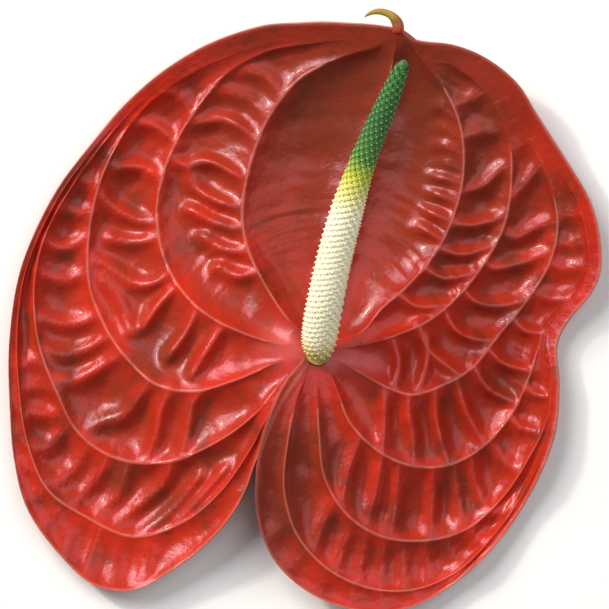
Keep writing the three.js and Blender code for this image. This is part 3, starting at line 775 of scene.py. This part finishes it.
normal = np.concatenate([upward(left_plate, x_mm[:, panel < 0], y_mm[:, panel < 0]),
                         upward(right_plate, x_mm[:, panel >= 0], y_mm[:, panel >= 0])], axis=1)
under = (surface - THICKNESS * normal)[::2, ::2]
under[:, :, 2] = np.maximum(under[:, :, 2], 0)
rows, columns = share.shape
under_rows, under_columns = under.shape[:2]
print("underside", under.shape[:2], "points, lowest", round(float(under[:, :, 2].min()), 2), "mm")

# %% Blade's faces


def top_id(j, i):
    return j * columns + i


def under_id(j, i):
    return rows * columns + j * under_columns + i


faces = [(top_id(j, i), top_id(j, i + 1), top_id(j + 1, i + 1), top_id(j + 1, i))
         for j in range(rows - 1) for i in range(columns - 1)]
faces += [(under_id(j, i), under_id(j + 1, i), under_id(j + 1, i + 1), under_id(j, i + 1))
          for j in range(under_rows - 1) for i in range(under_columns - 1)]
for j in range(under_rows - 1):
    k, last = 2 * j, columns - 1
    faces.append((top_id(k, 0), top_id(k + 1, 0), top_id(k + 2, 0), under_id(j + 1, 0), under_id(j, 0)))
    faces.append((top_id(k + 2, last), top_id(k + 1, last), top_id(k, last),
                  under_id(j, last // 2), under_id(j + 1, last // 2)))
for i in range(under_columns - 1):
    k, last = 2 * i, rows - 1
    faces.append((top_id(0, k + 2), top_id(0, k + 1), top_id(0, k), under_id(0, i), under_id(0, i + 1)))
    faces.append((top_id(last, k), top_id(last, k + 1), top_id(last, k + 2),
                  under_id(last // 2, i + 1), under_id(last // 2, i)))

blade = mesh_object("spathe_blade", np.vstack([surface.reshape(-1, 3), under.reshape(-1, 3)]), faces)
blade.data.set_sharp_from_angle(angle=math.radians(65))
print("blade", len(blade.data.vertices), "points,", len(blade.data.polygons), "faces")

# %% [markdown]
# ## What the finish needs to know
#
# The colours of the blade depend on where a point lies: on a vein, in a hollow, on the pale webs
# round the stalk, in the middle above the stalk, on the lobe that is folded over the other or in
# the thin lines just below the stalk. Painted shade darkens the hollows and those lines, where
# shade lies, and the middle above the stalk and the folded lobe, which turn away from the light.
# Each of these is kept on the mesh as a number, so that the finish can read it.

# %% Values for the blade's finish


def top_and_under(values):
    return np.concatenate([values.ravel(), values[::2, ::2].ravel()])


add_value(blade, "vein_gap", top_and_under(vein_gap + 3 * (1 - rise(width, 2, 4))))
add_value(blade, "rib_gap", top_and_under(rib_gap))
add_value(blade, "edge_gap", top_and_under(edge_gap))
# How deep the skin sags; the finish uses it to paint shade into the hollows.
add_value(blade, "sag", top_and_under(rise(-relief, 0, SCOOP_DEPTH)))
add_value(blade, "face_up", np.concatenate([np.ones(rows * columns), np.zeros(under_rows * under_columns)]))
turn = np.degrees(np.arctan2(y_mm, x_mm))
webs = hump(turn, 165, 24) + hump(turn, -188, 24) + hump(turn, 10, 20)
add_value(blade, "web", top_and_under(webs * smooth(fall(from_stem, 19, 12))))
# Painted shade: the middle of the blade above the stalk, and the inner part of the right lobe where it is
# folded over the left one, turn away from the light, so the finish darkens and browns them.
inner = np.clip(1 - (x_mm / 52) ** 2, 0, 1) * smooth(rise(y_mm, 14, 44))
folded = hump(x_mm, -1, 10) * smooth(rise(-y_mm, 8, 12)) * (panel > 0)
add_value(blade, "painted_shade", top_and_under(np.maximum(inner, 0.9 * folded)))
# Painted shade: thin dark lines fan out just below the stalk, standing for the shade in the folds there.
fold_shade = np.abs(np.sin(np.radians(turn) * 19 + 0.8)) ** 14 * smooth(fall(turn, -55, 20))
fold_shade *= smooth(rise(turn, -150, 20)) * smooth(fall(from_stem, 15, 9))
add_value(blade, "throat_fold_shade", top_and_under(fold_shade))
print("values", [layer.name for layer in blade.data.attributes if layer.data_type == "FLOAT"])

# %% [markdown]
# ## The curled tip
#
# The midrib runs on past the blade as a narrow tail, which has dried a little and curled over.
# It is swept along its own curve as a flattened tube that thins to a point.

# %% Sweeping a tube


def frames_along(centres):
    """Each centre with its sideways and upward directions, carried along without twisting."""
    forward = np.gradient(centres, axis=0)
    forward /= np.linalg.norm(forward, axis=1, keepdims=True)
    sideways = np.cross(forward[0], [0, 0, 1.0])
    frames = []
    for centre, ahead in zip(centres, forward):
        sideways = sideways - ahead * (sideways @ ahead)
        sideways /= np.linalg.norm(sideways)
        frames.append((centre, sideways, np.cross(sideways, ahead)))
    return frames


def tube_faces(first, rings, sides):
    """Four-sided faces between rings of points that are numbered from the first."""
    found = []
    for j in range(rings - 1):
        for k in range(sides):
            a, b = first + j * sides + k, first + j * sides + (k + 1) % sides
            found.append((a, b, b + sides, a + sides))
    return found


def sweep(route, radius_at, sides, rings, flatten=1.0):
    """A closed tube along a route: points, faces, each point's share of the way and its angle."""
    run = polyline(route, 40)
    share_along = 0.5 - 0.5 * np.cos(math.pi * np.arange(1, rings) / rings)
    centres = at_lengths(run, lengths(run)[-1] * share_along)
    vertices, shares_out, angles = [run[0]], [0.0], [0.0]
    for (centre, out_x, out_y), t in zip(frames_along(centres), share_along):
        r = radius_at(t)
        for k in range(sides):
            angle = 2 * math.pi * k / sides
            vertices.append(centre + r * (math.cos(angle) * out_x + flatten * math.sin(angle) * out_y))
            shares_out.append(t)
            angles.append(angle)
    vertices.append(run[-1])
    shares_out.append(1.0)
    angles.append(0.0)
    tube = tube_faces(1, rings - 1, sides)
    last = len(vertices) - 1
    for k in range(sides):
        tube.append((0, 1 + (k + 1) % sides, 1 + k))
        tube.append((last, last - sides + k, last - sides + (k + 1) % sides))
    return vertices, tube, shares_out, angles


def close_faces_outwards(piece):
    """Turns every face so that it looks out of the piece."""
    shell = bmesh.new()
    shell.from_mesh(piece.data)
    bmesh.ops.recalc_face_normals(shell, faces=shell.faces)
    shell.to_mesh(piece.data)
    shell.free()


# %% Curled tip
TAIL_ROUTE = [[-1.2, 79.4, 12.9], [-1.5, 80.7, 13.4], [-2.1, 81.6, 14], [-3, 82.3, 14.8],
              [-4.2, 82.8, 15.4], [-5.6, 82.9, 15.8], [-7, 82.7, 16.1], [-8.3, 82.1, 16.1],
              [-9.2, 81.3, 15.9], [-9.8, 80.5, 15.7]]
TAIL_PROFILE = [(0, 1.3), (0.2, 1.35), (0.45, 1.0), (0.7, 0.8), (0.9, 0.42), (1, 0.02)]
TAIL_FLATNESS = 0.5


def tail_radius(t):
    return float(graph(TAIL_PROFILE, t))


vertices, faces, shares_out, angles = sweep(TAIL_ROUTE, tail_radius, 16, 48, TAIL_FLATNESS)
tip = mesh_object("spathe_tip", vertices, faces)
close_faces_outwards(tip)
add_value(tip, "along_tip", shares_out)
add_value(tip, "tip_side", np.abs(np.cos(angles)))
print("tip", len(tip.data.polygons), "faces")

# %% [markdown]
# ## The spadix
#
# The spike is a tapering, slightly bent club. Its core is swept like the tip. The flowers on it
# follow the rule that sunflower seeds follow: each sits a golden angle round from the one below.

# %% Spadix core
SPADIX_ROUTE = [[-0.1, 2.1, 13.4], [-0.4, 4, 16.2], [-1.4, 12, 22.3], [-2.2, 28, 29.5], [-1.6, 46, 37],
                [0.2, 60, 41.5], [1.8, 71.8, 45]]
SPADIX_RADIUS = 3.85
SPADIX_PROFILE = [(0, 0), (0.006, 0.55), (0.03, 0.86), (0.08, 1), (0.25, 1), (0.45, 0.93), (0.62, 0.8),
                  (0.8, 0.68), (0.9, 0.56), (0.96, 0.43), (0.99, 0.24), (1, 0)]
CORE_INSET = 0.12  # the core lies this far below the feet of the flowers


def spadix_radius(t):
    return float(SPADIX_RADIUS * graph(SPADIX_PROFILE, t))


def core_radius(t):
    return spadix_radius(t) - CORE_INSET


vertices, faces, shares_out, angles = sweep(SPADIX_ROUTE, core_radius, 32, 90)
core = mesh_object("spadix_core", vertices, faces)
close_faces_outwards(core)
add_value(core, "along_spike", shares_out)
print("spadix core", len(core.data.polygons), "faces")

# %% [markdown]
# The flowers repeat by rule, which is what Geometry Nodes are for. The input is the spike's
# centre line as a curve whose radius is the spike's. The tree makes one point for each flower,
# reads the line at its height, steps out to the surface at its angle and puts a small cushion
# with a raised stigma there.

# %% Centre line for the flowers
line = polyline(SPADIX_ROUTE, 30)
line_shares = lengths(line) / lengths(line)[-1]
curve_data = bpy.data.curves.new("spike_line", "CURVE")
curve_data.dimensions = "3D"
spline = curve_data.splines.new("POLY")
spline.points.add(len(line) - 1)
for point, place, t in zip(spline.points, (line + STEM) * MM, line_shares):
    point.co = (*place, 1)
    point.radius = spadix_radius(t) * MM
flowers = bpy.data.objects.new("spadix_flowers", curve_data)
bpy.context.scene.collection.objects.link(flowers)

FLOWER_COUNT = 860
GOLDEN_ANGLE = math.radians(137.50776)
print(FLOWER_COUNT, "flowers on", round(lengths(line)[-1]), "mm of spike")

# %% A Geometry Nodes tree and its inputs


def new_tree(name, inputs):
    tree = bpy.data.node_groups.new(name, "GeometryNodeTree")
    tree.interface.new_socket("Geometry", in_out="INPUT", socket_type="NodeSocketGeometry")
    for label, kind in inputs:
        tree.interface.new_socket(label, in_out="INPUT", socket_type=kind)
    tree.interface.new_socket("Geometry", in_out="OUTPUT", socket_type="NodeSocketGeometry")
    return tree


tree = new_tree("flowers_on_a_spike", [
    ("Count", "NodeSocketInt"), ("Turn", "NodeSocketFloat"), ("Cushion radius", "NodeSocketFloat"),
    ("Stigma height", "NodeSocketFloat"), ("Finish", "NodeSocketMaterial")])
print("tree inputs", [item.name for item in tree.interface.items_tree if item.in_out == "INPUT"])

# %% Helpers for the tree


def node(kind, **settings):
    """A new node in the tree, with its settings."""
    made = tree.nodes.new(kind)
    for key, value in settings.items():
        setattr(made, key, value)
    return made


def join(source, target):
    tree.links.new(source, target)


def calculate(operation, a, b=None):
    """A Math node whose inputs are sockets or plain numbers."""
    made = node("ShaderNodeMath", operation=operation)
    for socket, value in zip(made.inputs, (a, b)):
        if isinstance(value, (int, float)):
            socket.default_value = value
        elif value is not None:
            join(value, socket)
    return made.outputs[0]


def vector_step(operation, a, b=None, scale=None):
    """A Vector Math node whose inputs are sockets."""
    made = node("ShaderNodeVectorMath", operation=operation)
    join(a, made.inputs[0])
    if b is not None:
        join(b, made.inputs[1])
    if scale is not None:
        join(scale, made.inputs["Scale"])
    return made.outputs[0]


# %% [markdown]
# Each flower's number gives its height on the spike and its angle round it. The spike thins
# towards its tip while the flowers keep their size, so fewer of them stand in each millimetre
# there, and the heights are spread out to match.

# %% Height and angle of each flower
SPREAD = 0.80  # below 1, the flowers' heights spread out towards the tip
LOWEST_FLOWER, FLOWERED_SHARE = 0.018, 0.962

given = node("NodeGroupInput")
result = node("NodeGroupOutput")
places = node("GeometryNodePoints")
join(given.outputs["Count"], places.inputs["Count"])
number = node("GeometryNodeInputIndex").outputs[0]
height = calculate("DIVIDE", calculate("ADD", number, 0.5), given.outputs["Count"])
height = calculate("SUBTRACT", 1.0, calculate("POWER", calculate("SUBTRACT", 1.0, height), SPREAD))
height = calculate("ADD", calculate("MULTIPLY", height, FLOWERED_SHARE), LOWEST_FLOWER)
angle = calculate("MULTIPLY", number, given.outputs["Turn"])
print(len(tree.nodes), "nodes so far")

# %% [markdown]
# The line is then read at that height. Its normal, turned by the angle, points straight out of
# the spike, and one radius along it is the flower's seat. The flower's own top faces outwards
# and its length lies along the spike.

# %% Seat and direction of each flower
reading = node("GeometryNodeSampleCurve", mode="FACTOR", data_type="FLOAT")
join(given.outputs["Geometry"], reading.inputs["Curves"])
join(height, reading.inputs["Factor"])
join(node("GeometryNodeInputRadius").outputs[0], reading.inputs["Value"])

binormal = vector_step("CROSS_PRODUCT", reading.outputs["Tangent"], reading.outputs["Normal"])
outward = vector_step(
    "ADD",
    vector_step("SCALE", reading.outputs["Normal"], scale=calculate("COSINE", angle)),
    vector_step("SCALE", binormal, scale=calculate("SINE", angle)))
one_radius = vector_step("SCALE", outward, scale=reading.outputs["Value"])
seat = vector_step("ADD", reading.outputs["Position"], one_radius)
placed = node("GeometryNodeSetPosition")
join(places.outputs[0], placed.inputs["Geometry"])
join(seat, placed.inputs["Position"])
facing = node("FunctionNodeAxesToRotation", primary_axis="Z", secondary_axis="Y")
join(outward, facing.inputs["Primary Axis"])
join(reading.outputs["Tangent"], facing.inputs["Secondary Axis"])
print(len(tree.nodes), "nodes so far")

# %% [markdown]
# A flower is a low cushion, made from a flattened ball with few sides, and its stigma is a blunt
# cone. Both carry a number that tells the finish which of the two they are.

# %% Cushion and stigma
CUSHION_SIDES, CUSHION_RINGS = 8, 4
CUSHION_SHAPE = (1.0, 1.1, 0.22)  # a little longer along the spike, and flat
STIGMA_TOP, STIGMA_FOOT = 0.00012, 0.00034


def marked(shape, is_stigma):
    made = node("GeometryNodeStoreNamedAttribute", data_type="FLOAT", domain="POINT")
    join(shape, made.inputs["Geometry"])
    made.inputs["Name"].default_value = "stigma"
    made.inputs["Value"].default_value = is_stigma
    return made.outputs[0]


cushion = node("GeometryNodeMeshUVSphere")
cushion.inputs["Segments"].default_value = CUSHION_SIDES
cushion.inputs["Rings"].default_value = CUSHION_RINGS
join(given.outputs["Cushion radius"], cushion.inputs["Radius"])
flat = node("GeometryNodeTransform")
join(cushion.outputs["Mesh"], flat.inputs["Geometry"])
flat.inputs["Scale"].default_value = CUSHION_SHAPE

stigma = node("GeometryNodeMeshCone", fill_type="NGON")
stigma.inputs["Vertices"].default_value = 6
stigma.inputs["Radius Top"].default_value = STIGMA_TOP
stigma.inputs["Radius Bottom"].default_value = STIGMA_FOOT
join(given.outputs["Stigma height"], stigma.inputs["Depth"])
print("cushion", CUSHION_SIDES, "x", CUSHION_RINGS, "faces, stigma", 1000 * STIGMA_FOOT, "mm in radius")

# %% [markdown]
# The flowers open from the bottom up. The open ones of the lower part stand tall, and the closed
# ones above are nearly flat, so both shapes are pressed down with height before they are placed.

# %% Placing the flowers
OPEN_UP_TO, CLOSED_FROM = 0.50, 0.66
CLOSED_TALLNESS = 0.30

openness = node("ShaderNodeMapRange", interpolation_type="SMOOTHSTEP")
join(height, openness.inputs["Value"])
for socket, value in zip(("From Min", "From Max", "To Min", "To Max"),
                         (OPEN_UP_TO, CLOSED_FROM, 1.0, CLOSED_TALLNESS)):
    openness.inputs[socket].default_value = value
tallness = node("ShaderNodeCombineXYZ")
join(openness.outputs[0], tallness.inputs["Z"])
tallness.inputs["X"].default_value = 1.0
tallness.inputs["Y"].default_value = 1.0


def on_points(shape):
    """A copy of the shape on each seat, with the flower's height kept for the finish."""
    made = node("GeometryNodeInstanceOnPoints")
    join(placed.outputs[0], made.inputs["Points"])
    join(shape, made.inputs["Instance"])
    join(facing.outputs[0], made.inputs["Rotation"])
    join(tallness.outputs[0], made.inputs["Scale"])
    stored = node("GeometryNodeStoreNamedAttribute", data_type="FLOAT", domain="INSTANCE")
    join(made.outputs[0], stored.inputs["Geometry"])
    stored.inputs["Name"].default_value = "along_spike"
    join(height, stored.inputs["Value"])
    return stored.outputs[0]


both = node("GeometryNodeJoinGeometry")
join(on_points(marked(flat.outputs[0], 0.0)), both.inputs[0])
join(on_points(marked(stigma.outputs["Mesh"], 1.0)), both.inputs[0])
real = node("GeometryNodeRealizeInstances")
join(both.outputs[0], real.inputs[0])
finished = node("GeometryNodeSetMaterial")
join(real.outputs[0], finished.inputs["Geometry"])
join(given.outputs["Finish"], finished.inputs["Material"])
join(finished.outputs[0], result.inputs[0])
print(len(tree.nodes), "nodes in the flower tree")

# %% [markdown]
# ## Finishes
#
# Each finish is built from nodes on a Principled shader. The helpers below keep the cells short:
# one adds a node, one joins two sockets, and one reads a measured value back from the mesh.

# %% Finish helpers
MIX_COLOURS_IN, MIX_COLOUR_OUT = (6, 7), 2  # a Mix node's colour sockets share their names with others


class Finish:
    """A material with its nodes and shader, and short ways to add to them."""

    def __init__(self, name, roughness, gloss):
        self.material = bpy.data.materials.new(name)
        self.material.use_nodes = True
        self.nodes = self.material.node_tree.nodes
        self.shader = self.nodes["Principled BSDF"]
        self.shader.inputs["Roughness"].default_value = roughness
        self.shader.inputs["Specular IOR Level"].default_value = gloss

    def add(self, kind, **settings):
        made = self.nodes.new(kind)
        for key, value in settings.items():
            setattr(made, key, value)
        return made

    def join(self, source, target):
        self.material.node_tree.links.new(source, target)

    def value(self, name):
        """A number that was kept on the mesh."""
        return self.add("ShaderNodeAttribute", attribute_name=name).outputs["Fac"]

    def place(self):
        return self.add("ShaderNodeTexCoord").outputs["Object"]

    def ramp(self, source, stops, interpolation="EASE"):
        made = self.add("ShaderNodeValToRGB")
        made.color_ramp.interpolation = interpolation
        while len(made.color_ramp.elements) < len(stops):
            made.color_ramp.elements.new(0.5)
        for element, (position, colour) in zip(made.color_ramp.elements, stops):
            element.position = position
            element.color = (*colour, 1)
        self.join(source, made.inputs[0])
        return made.outputs["Color"]

    def fade(self, source, start, end, first=1.0, last=0.0):
        """The first value at the start, which goes smoothly over to the last one at the end."""
        made = self.add("ShaderNodeMapRange", interpolation_type="SMOOTHSTEP")
        for socket, number in zip(("From Min", "From Max", "To Min", "To Max"), (start, end, first, last)):
            made.inputs[socket].default_value = number
        self.join(source, made.inputs["Value"])
        return made.outputs[0]

    def times(self, a, b):
        made = self.add("ShaderNodeMath", operation="MULTIPLY")
        self.join(a, made.inputs[0])
        if isinstance(b, (int, float)):
            made.inputs[1].default_value = b
        else:
            self.join(b, made.inputs[1])
        return made.outputs[0]

    def mix(self, share, under, over):
        """One colour over another, each a socket or three numbers."""
        made = self.add("ShaderNodeMix", data_type="RGBA")
        for index, colour in zip(MIX_COLOURS_IN, (under, over)):
            if isinstance(colour, tuple):
                made.inputs[index].default_value = (*colour, 1)
            else:
                self.join(colour, made.inputs[index])
        self.join(share, made.inputs[0])
        return made.outputs[MIX_COLOUR_OUT]

    def noise(self, scale, detail=2.0, roughness=0.5):
        made = self.add("ShaderNodeTexNoise")
        made.inputs["Scale"].default_value = scale
        made.inputs["Detail"].default_value = detail
        made.inputs["Roughness"].default_value = roughness
        self.join(self.place(), made.inputs["Vector"])
        return made.outputs["Fac"]

    def bump(self, height, strength, distance, before=None):
        made = self.add("ShaderNodeBump")
        made.inputs["Strength"].default_value = strength
        made.inputs["Distance"].default_value = distance
        self.join(height, made.inputs["Height"])
        if before is not None:
            self.join(before, made.inputs["Normal"])
        return made.outputs["Normal"]


# %% [markdown]
# ## The blade's finish
#
# The blade is red under clear wax, mottled with brownish clouds. Painted shade makes it darker and
# browner in the hollows, above the stalk and where a lobe is folded over, and draws thin dark lines
# for the shade of the folds below the stalk. Veins and ribs show as thin pale pink lines, and the
# skin is paler round the stalk and along the very edge. The wax mirrors light with a mauve tint, and
# fine waves in it break the reflections up. The red is built up in thin layers, as a painter glazes,
# because each layer then has one reason and can be changed alone.

# %% Wax
wax = Finish("waxy_red", 0.32, 0.38)
wax.shader.inputs["Coat Weight"].default_value = 0.13
wax.shader.inputs["Coat Roughness"].default_value = 0.08
wax.shader.inputs["Coat IOR"].default_value = 1.45
wax.shader.inputs["Specular Tint"].default_value = (1.0, 0.62, 0.78, 1)
skin = wax.bump(wax.noise(430, 3.0), 0.45, 0.0006)
wax.join(wax.bump(wax.noise(3200, 1.0), 0.08, 0.0001, skin), wax.shader.inputs["Normal"])
print("wax has", len(wax.nodes), "nodes so far")

# %% Layers of red
clouds = wax.noise(95, 5.0, 0.6)
red = wax.ramp(clouds, [(0.34, (0.25, 0.026, 0.010)), (0.50, (0.48, 0.022, 0.007)),
                        (0.68, (0.60, 0.024, 0.007))])
layers = [  # where each layer shows, how strong it is, and its colour
    # painted shade: darker and browner in the hollows
    (wax.value("sag"), 0.5, (0.19, 0.034, 0.013)),
    # painted shade above the stalk and on the folded-over lobe
    (wax.value("painted_shade"), 0.75, (0.15, 0.030, 0.012)),
    (wax.value("web"), 0.85, (0.70, 0.11, 0.10)),
    # painted shade of the folds below the stalk
    (wax.value("throat_fold_shade"), 0.8, (0.10, 0.020, 0.012)),
    (wax.fade(wax.value("rib_gap"), 0.05, 0.6), 0.25, (0.55, 0.12, 0.10)),
    (wax.fade(wax.value("vein_gap"), 0.05, 0.48), 0.6, (0.58, 0.16, 0.12)),
    (wax.fade(wax.value("edge_gap"), 0.1, 0.8), 0.5, (0.55, 0.16, 0.12)),
]
for where, strength, colour in layers:
    red = wax.mix(wax.times(where, strength), red, colour)
underside = wax.ramp(clouds, [(0.3, (0.42, 0.055, 0.035)), (0.7, (0.52, 0.075, 0.045))])
wax.join(wax.mix(wax.value("face_up"), underside, red), wax.shader.inputs["Base Color"])
blade.data.materials.append(wax.material)
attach(blade, "root")
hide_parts("spathe")
print(len(layers), "layers over the red")

# %% [markdown]
# ## The curled tip's finish
#
# The tail goes from red at its foot through orange to a dried yellow-green, and its two edges
# stay red. One ramp along its length gives the first, and a fade across it gives the second.

# %% Curled tip's finish
dry = Finish("greenish_tip", 0.35, 0.35)
middle = dry.ramp(dry.value("along_tip"), [(0.0, (0.40, 0.02, 0.015)), (0.22, (0.55, 0.20, 0.06)),
                                           (0.45, (0.60, 0.48, 0.08)), (0.85, (0.52, 0.46, 0.07)),
                                           (1.0, (0.35, 0.25, 0.05))])
red_edges = dry.times(dry.fade(dry.value("tip_side"), 0.55, 0.95, first=0.0, last=1.0), 0.8)
dry.join(dry.mix(red_edges, middle, (0.50, 0.045, 0.05)), dry.shader.inputs["Base Color"])
dry.join(dry.bump(dry.noise(1500, 3.0), 0.3, 0.0002), dry.shader.inputs["Normal"])
tip.data.materials.append(dry.material)
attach(tip, "root")
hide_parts("spathe")
print("finish", dry.material.name)

# %% [markdown]
# ## The spike's finish
#
# The flowers open from the bottom up. The open ones are cream with yellow between them, then
# comes a band of yellow-green, and the closed ones near the tip are deep green with paler dots.

# %% Cream to green
CREAM, BUTTER, LIME = (1.0, 0.94, 0.68), (0.80, 0.72, 0.25), (0.52, 0.56, 0.05)
LEAF, DEEP = (0.07, 0.20, 0.035), (0.035, 0.125, 0.035)
SPIKE_STOPS = [(0.0, (0.42, 0.36, 0.06)), (0.045, BUTTER), (0.09, CREAM), (0.50, CREAM), (0.56, BUTTER),
               (0.61, LIME), (0.68, LEAF), (0.80, DEEP), (1.0, (0.05, 0.16, 0.035))]
WANDER = 0.06  # how unevenly one colour gives way to the next, as a share of the spike


def spike_colours(finish, shade):
    """The colour along the spike, times shade: below 1, it darkens the colour as painted shade."""
    wander = finish.add("ShaderNodeMath", operation="MULTIPLY_ADD")
    finish.join(finish.noise(260, 2.0), wander.inputs[0])
    wander.inputs[1].default_value = WANDER
    wander.inputs[2].default_value = -WANDER / 2
    shifted = finish.add("ShaderNodeMath", operation="ADD")
    finish.join(finish.value("along_spike"), shifted.inputs[0])
    finish.join(wander.outputs[0], shifted.inputs[1])
    shaded = [(position, tuple(shade * part for part in colour)) for position, colour in SPIKE_STOPS]
    return finish.ramp(shifted.outputs[0], shaded, "LINEAR")


print(len(SPIKE_STOPS), "colours from the foot of the spike to its tip")

# %% Spike between the flowers
spike = Finish("spike_between_flowers", 0.45, 0.3)
# The spike between the flowers is a tenth darker than the flowers' own colours: painted shade between them.
spike.join(spike_colours(spike, 0.90), spike.shader.inputs["Base Color"])
spike.join(spike.bump(spike.noise(1800, 2.0), 0.3, 0.0002), spike.shader.inputs["Normal"])
core.data.materials.append(spike.material)
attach(core, "root")
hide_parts("spadix")
print("finish", spike.material.name)

# %% Tiny flowers
bloom = Finish("tiny_flowers", 0.42, 0.3)
petal = spike_colours(bloom, 1.0)
dot = bloom.ramp(bloom.value("along_spike"), [(0.0, (0.85, 0.78, 0.45)), (0.50, (1.0, 0.92, 0.74)),
                                              (0.62, (0.70, 0.75, 0.25)), (0.72, (0.24, 0.42, 0.13)),
                                              (1.0, (0.15, 0.32, 0.09))], "LINEAR")
bloom.join(bloom.mix(bloom.value("stigma"), petal, dot), bloom.shader.inputs["Base Color"])
bloom.join(bloom.bump(bloom.noise(2500, 2.0), 0.2, 0.0001), bloom.shader.inputs["Normal"])
print("finish", bloom.material.name)

# %% [markdown]
# Now the tree has all that it needs. Its result is turned into a plain mesh, and the line that
# carried it is taken away.

# %% Put the flowers on
maker = flowers.modifiers.new("flowers", "NODES")
maker.node_group = tree
settings = {"Count": FLOWER_COUNT, "Turn": GOLDEN_ANGLE, "Cushion radius": 0.00086,
            "Stigma height": 0.00056, "Finish": bloom.material}
for item in tree.interface.items_tree:
    if item.in_out == "INPUT" and item.name in settings:
        maker[item.identifier] = settings[item.name]
bpy.context.view_layer.update()
shaped = flowers.evaluated_get(bpy.context.evaluated_depsgraph_get())
flower_mesh = bpy.data.meshes.new_from_object(shaped)
flower_piece = bpy.data.objects.new("spadix_flower_heads", flower_mesh)
bpy.context.scene.collection.objects.link(flower_piece)
bpy.data.objects.remove(flowers)
flower_mesh.polygons.foreach_set("use_smooth", [True] * len(flower_mesh.polygons))
flower_mesh.materials.clear()  # the tree leaves an empty slot before the one with the finish
flower_mesh.materials.append(bloom.material)
flower_mesh.polygons.foreach_set("material_index", [0] * len(flower_mesh.polygons))
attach(flower_piece, "root")
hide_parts("spadix")
print("flower heads", len(flower_mesh.polygons), "faces")

# %% [markdown]
# ## The stalk
#
# The stalk bends under the blade and lies on the table. It is a round stem with eight faint ribs,
# cut off square, and it widens a little where it carries the spike. It is a row of rings joined
# by a skin, which lets the same rings close the cut end.

# %% Stalk
STALK_ROUTE = [[15, -46, 2.65], [11, -33, 2.65], [6, -18, 2.75], [2, -7, 3], [1, -2.6, 4.2],
               [0.2, 0.9, 6.9], [0, 1.8, 10], [0, 2.1, 12.3]]
STALK_RADIUS = 2.6
STALK_SIDES = 32
STALK_RINGS = 110
FLARE = 0.20  # the stalk's top is this much wider, where it meets the spike
STALK_RIBS, STALK_RIB_HEIGHT = 8, 0.008

run = polyline(STALK_ROUTE, 30)
frames = frames_along(at_lengths(run, lengths(run)[-1] * np.arange(STALK_RINGS) / (STALK_RINGS - 1)))
ring_plan = [(frames[0], r, 1.0) for r in (0.35, 0.7, 0.93)]  # rings on the cut end
ring_plan += [(here, 1.0 + FLARE * smooth(rise(here[0][2], 8.0, 4.0)), 0.0) for here in frames]
ring_plan += [(frames[-1], r, 0.0) for r in (1.0, 0.5)]
print(len(ring_plan), "rings")

# %% Stalk's skin
vertices, cut, near_spike = [], [], []
for (centre, out_x, out_y), share_out, is_cut in ring_plan:
    for k in range(STALK_SIDES):
        angle = 2 * math.pi * k / STALK_SIDES
        r = STALK_RADIUS * share_out * (1 + STALK_RIB_HEIGHT * math.cos(STALK_RIBS * angle))
        vertices.append(centre + r * (math.cos(angle) * out_x + math.sin(angle) * out_y))
        cut.append(is_cut)
        near_spike.append(rise(centre[2], 9.0, 3.0))
faces = tube_faces(0, len(ring_plan), STALK_SIDES)
faces.append(tuple(range(STALK_SIDES))[::-1])
faces.append(tuple(len(vertices) - STALK_SIDES + k for k in range(STALK_SIDES)))
stalk = mesh_object("stalk", vertices, faces)
close_faces_outwards(stalk)
stalk.data.set_sharp_from_angle(angle=math.radians(50))
add_value(stalk, "cut_face", cut)
add_value(stalk, "near_spike", near_spike)
print("stalk", len(stalk.data.polygons), "faces")

# %% [markdown]
# ## The stalk's finish
#
# The stem is a cloudy green that turns olive where it meets the spike. On its cut end, small
# cells with dark middles stand for the strands that carried the sap.

# %% Stalk's finish
stem = Finish("green_stalk", 0.38, 0.4)
green = stem.ramp(stem.noise(140, 3.0), [(0.3, (0.13, 0.21, 0.045)), (0.7, (0.21, 0.30, 0.07))])
spots = stem.add("ShaderNodeTexVoronoi")
spots.inputs["Scale"].default_value = 1300
stem.join(stem.place(), spots.inputs["Vector"])
pith = stem.ramp(spots.outputs["Distance"], [(0.12, (0.26, 0.22, 0.08)), (0.35, (0.58, 0.60, 0.32))])
green = stem.mix(stem.value("near_spike"), green, (0.46, 0.36, 0.07))
stem.join(stem.mix(stem.value("cut_face"), green, pith), stem.shader.inputs["Base Color"])
stem.join(stem.bump(stem.noise(900, 3.0), 0.25, 0.0002), stem.shader.inputs["Normal"])
stalk.data.materials.append(stem.material)
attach(stalk, "root")
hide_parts("peduncle")
print("finish", stem.material.name)
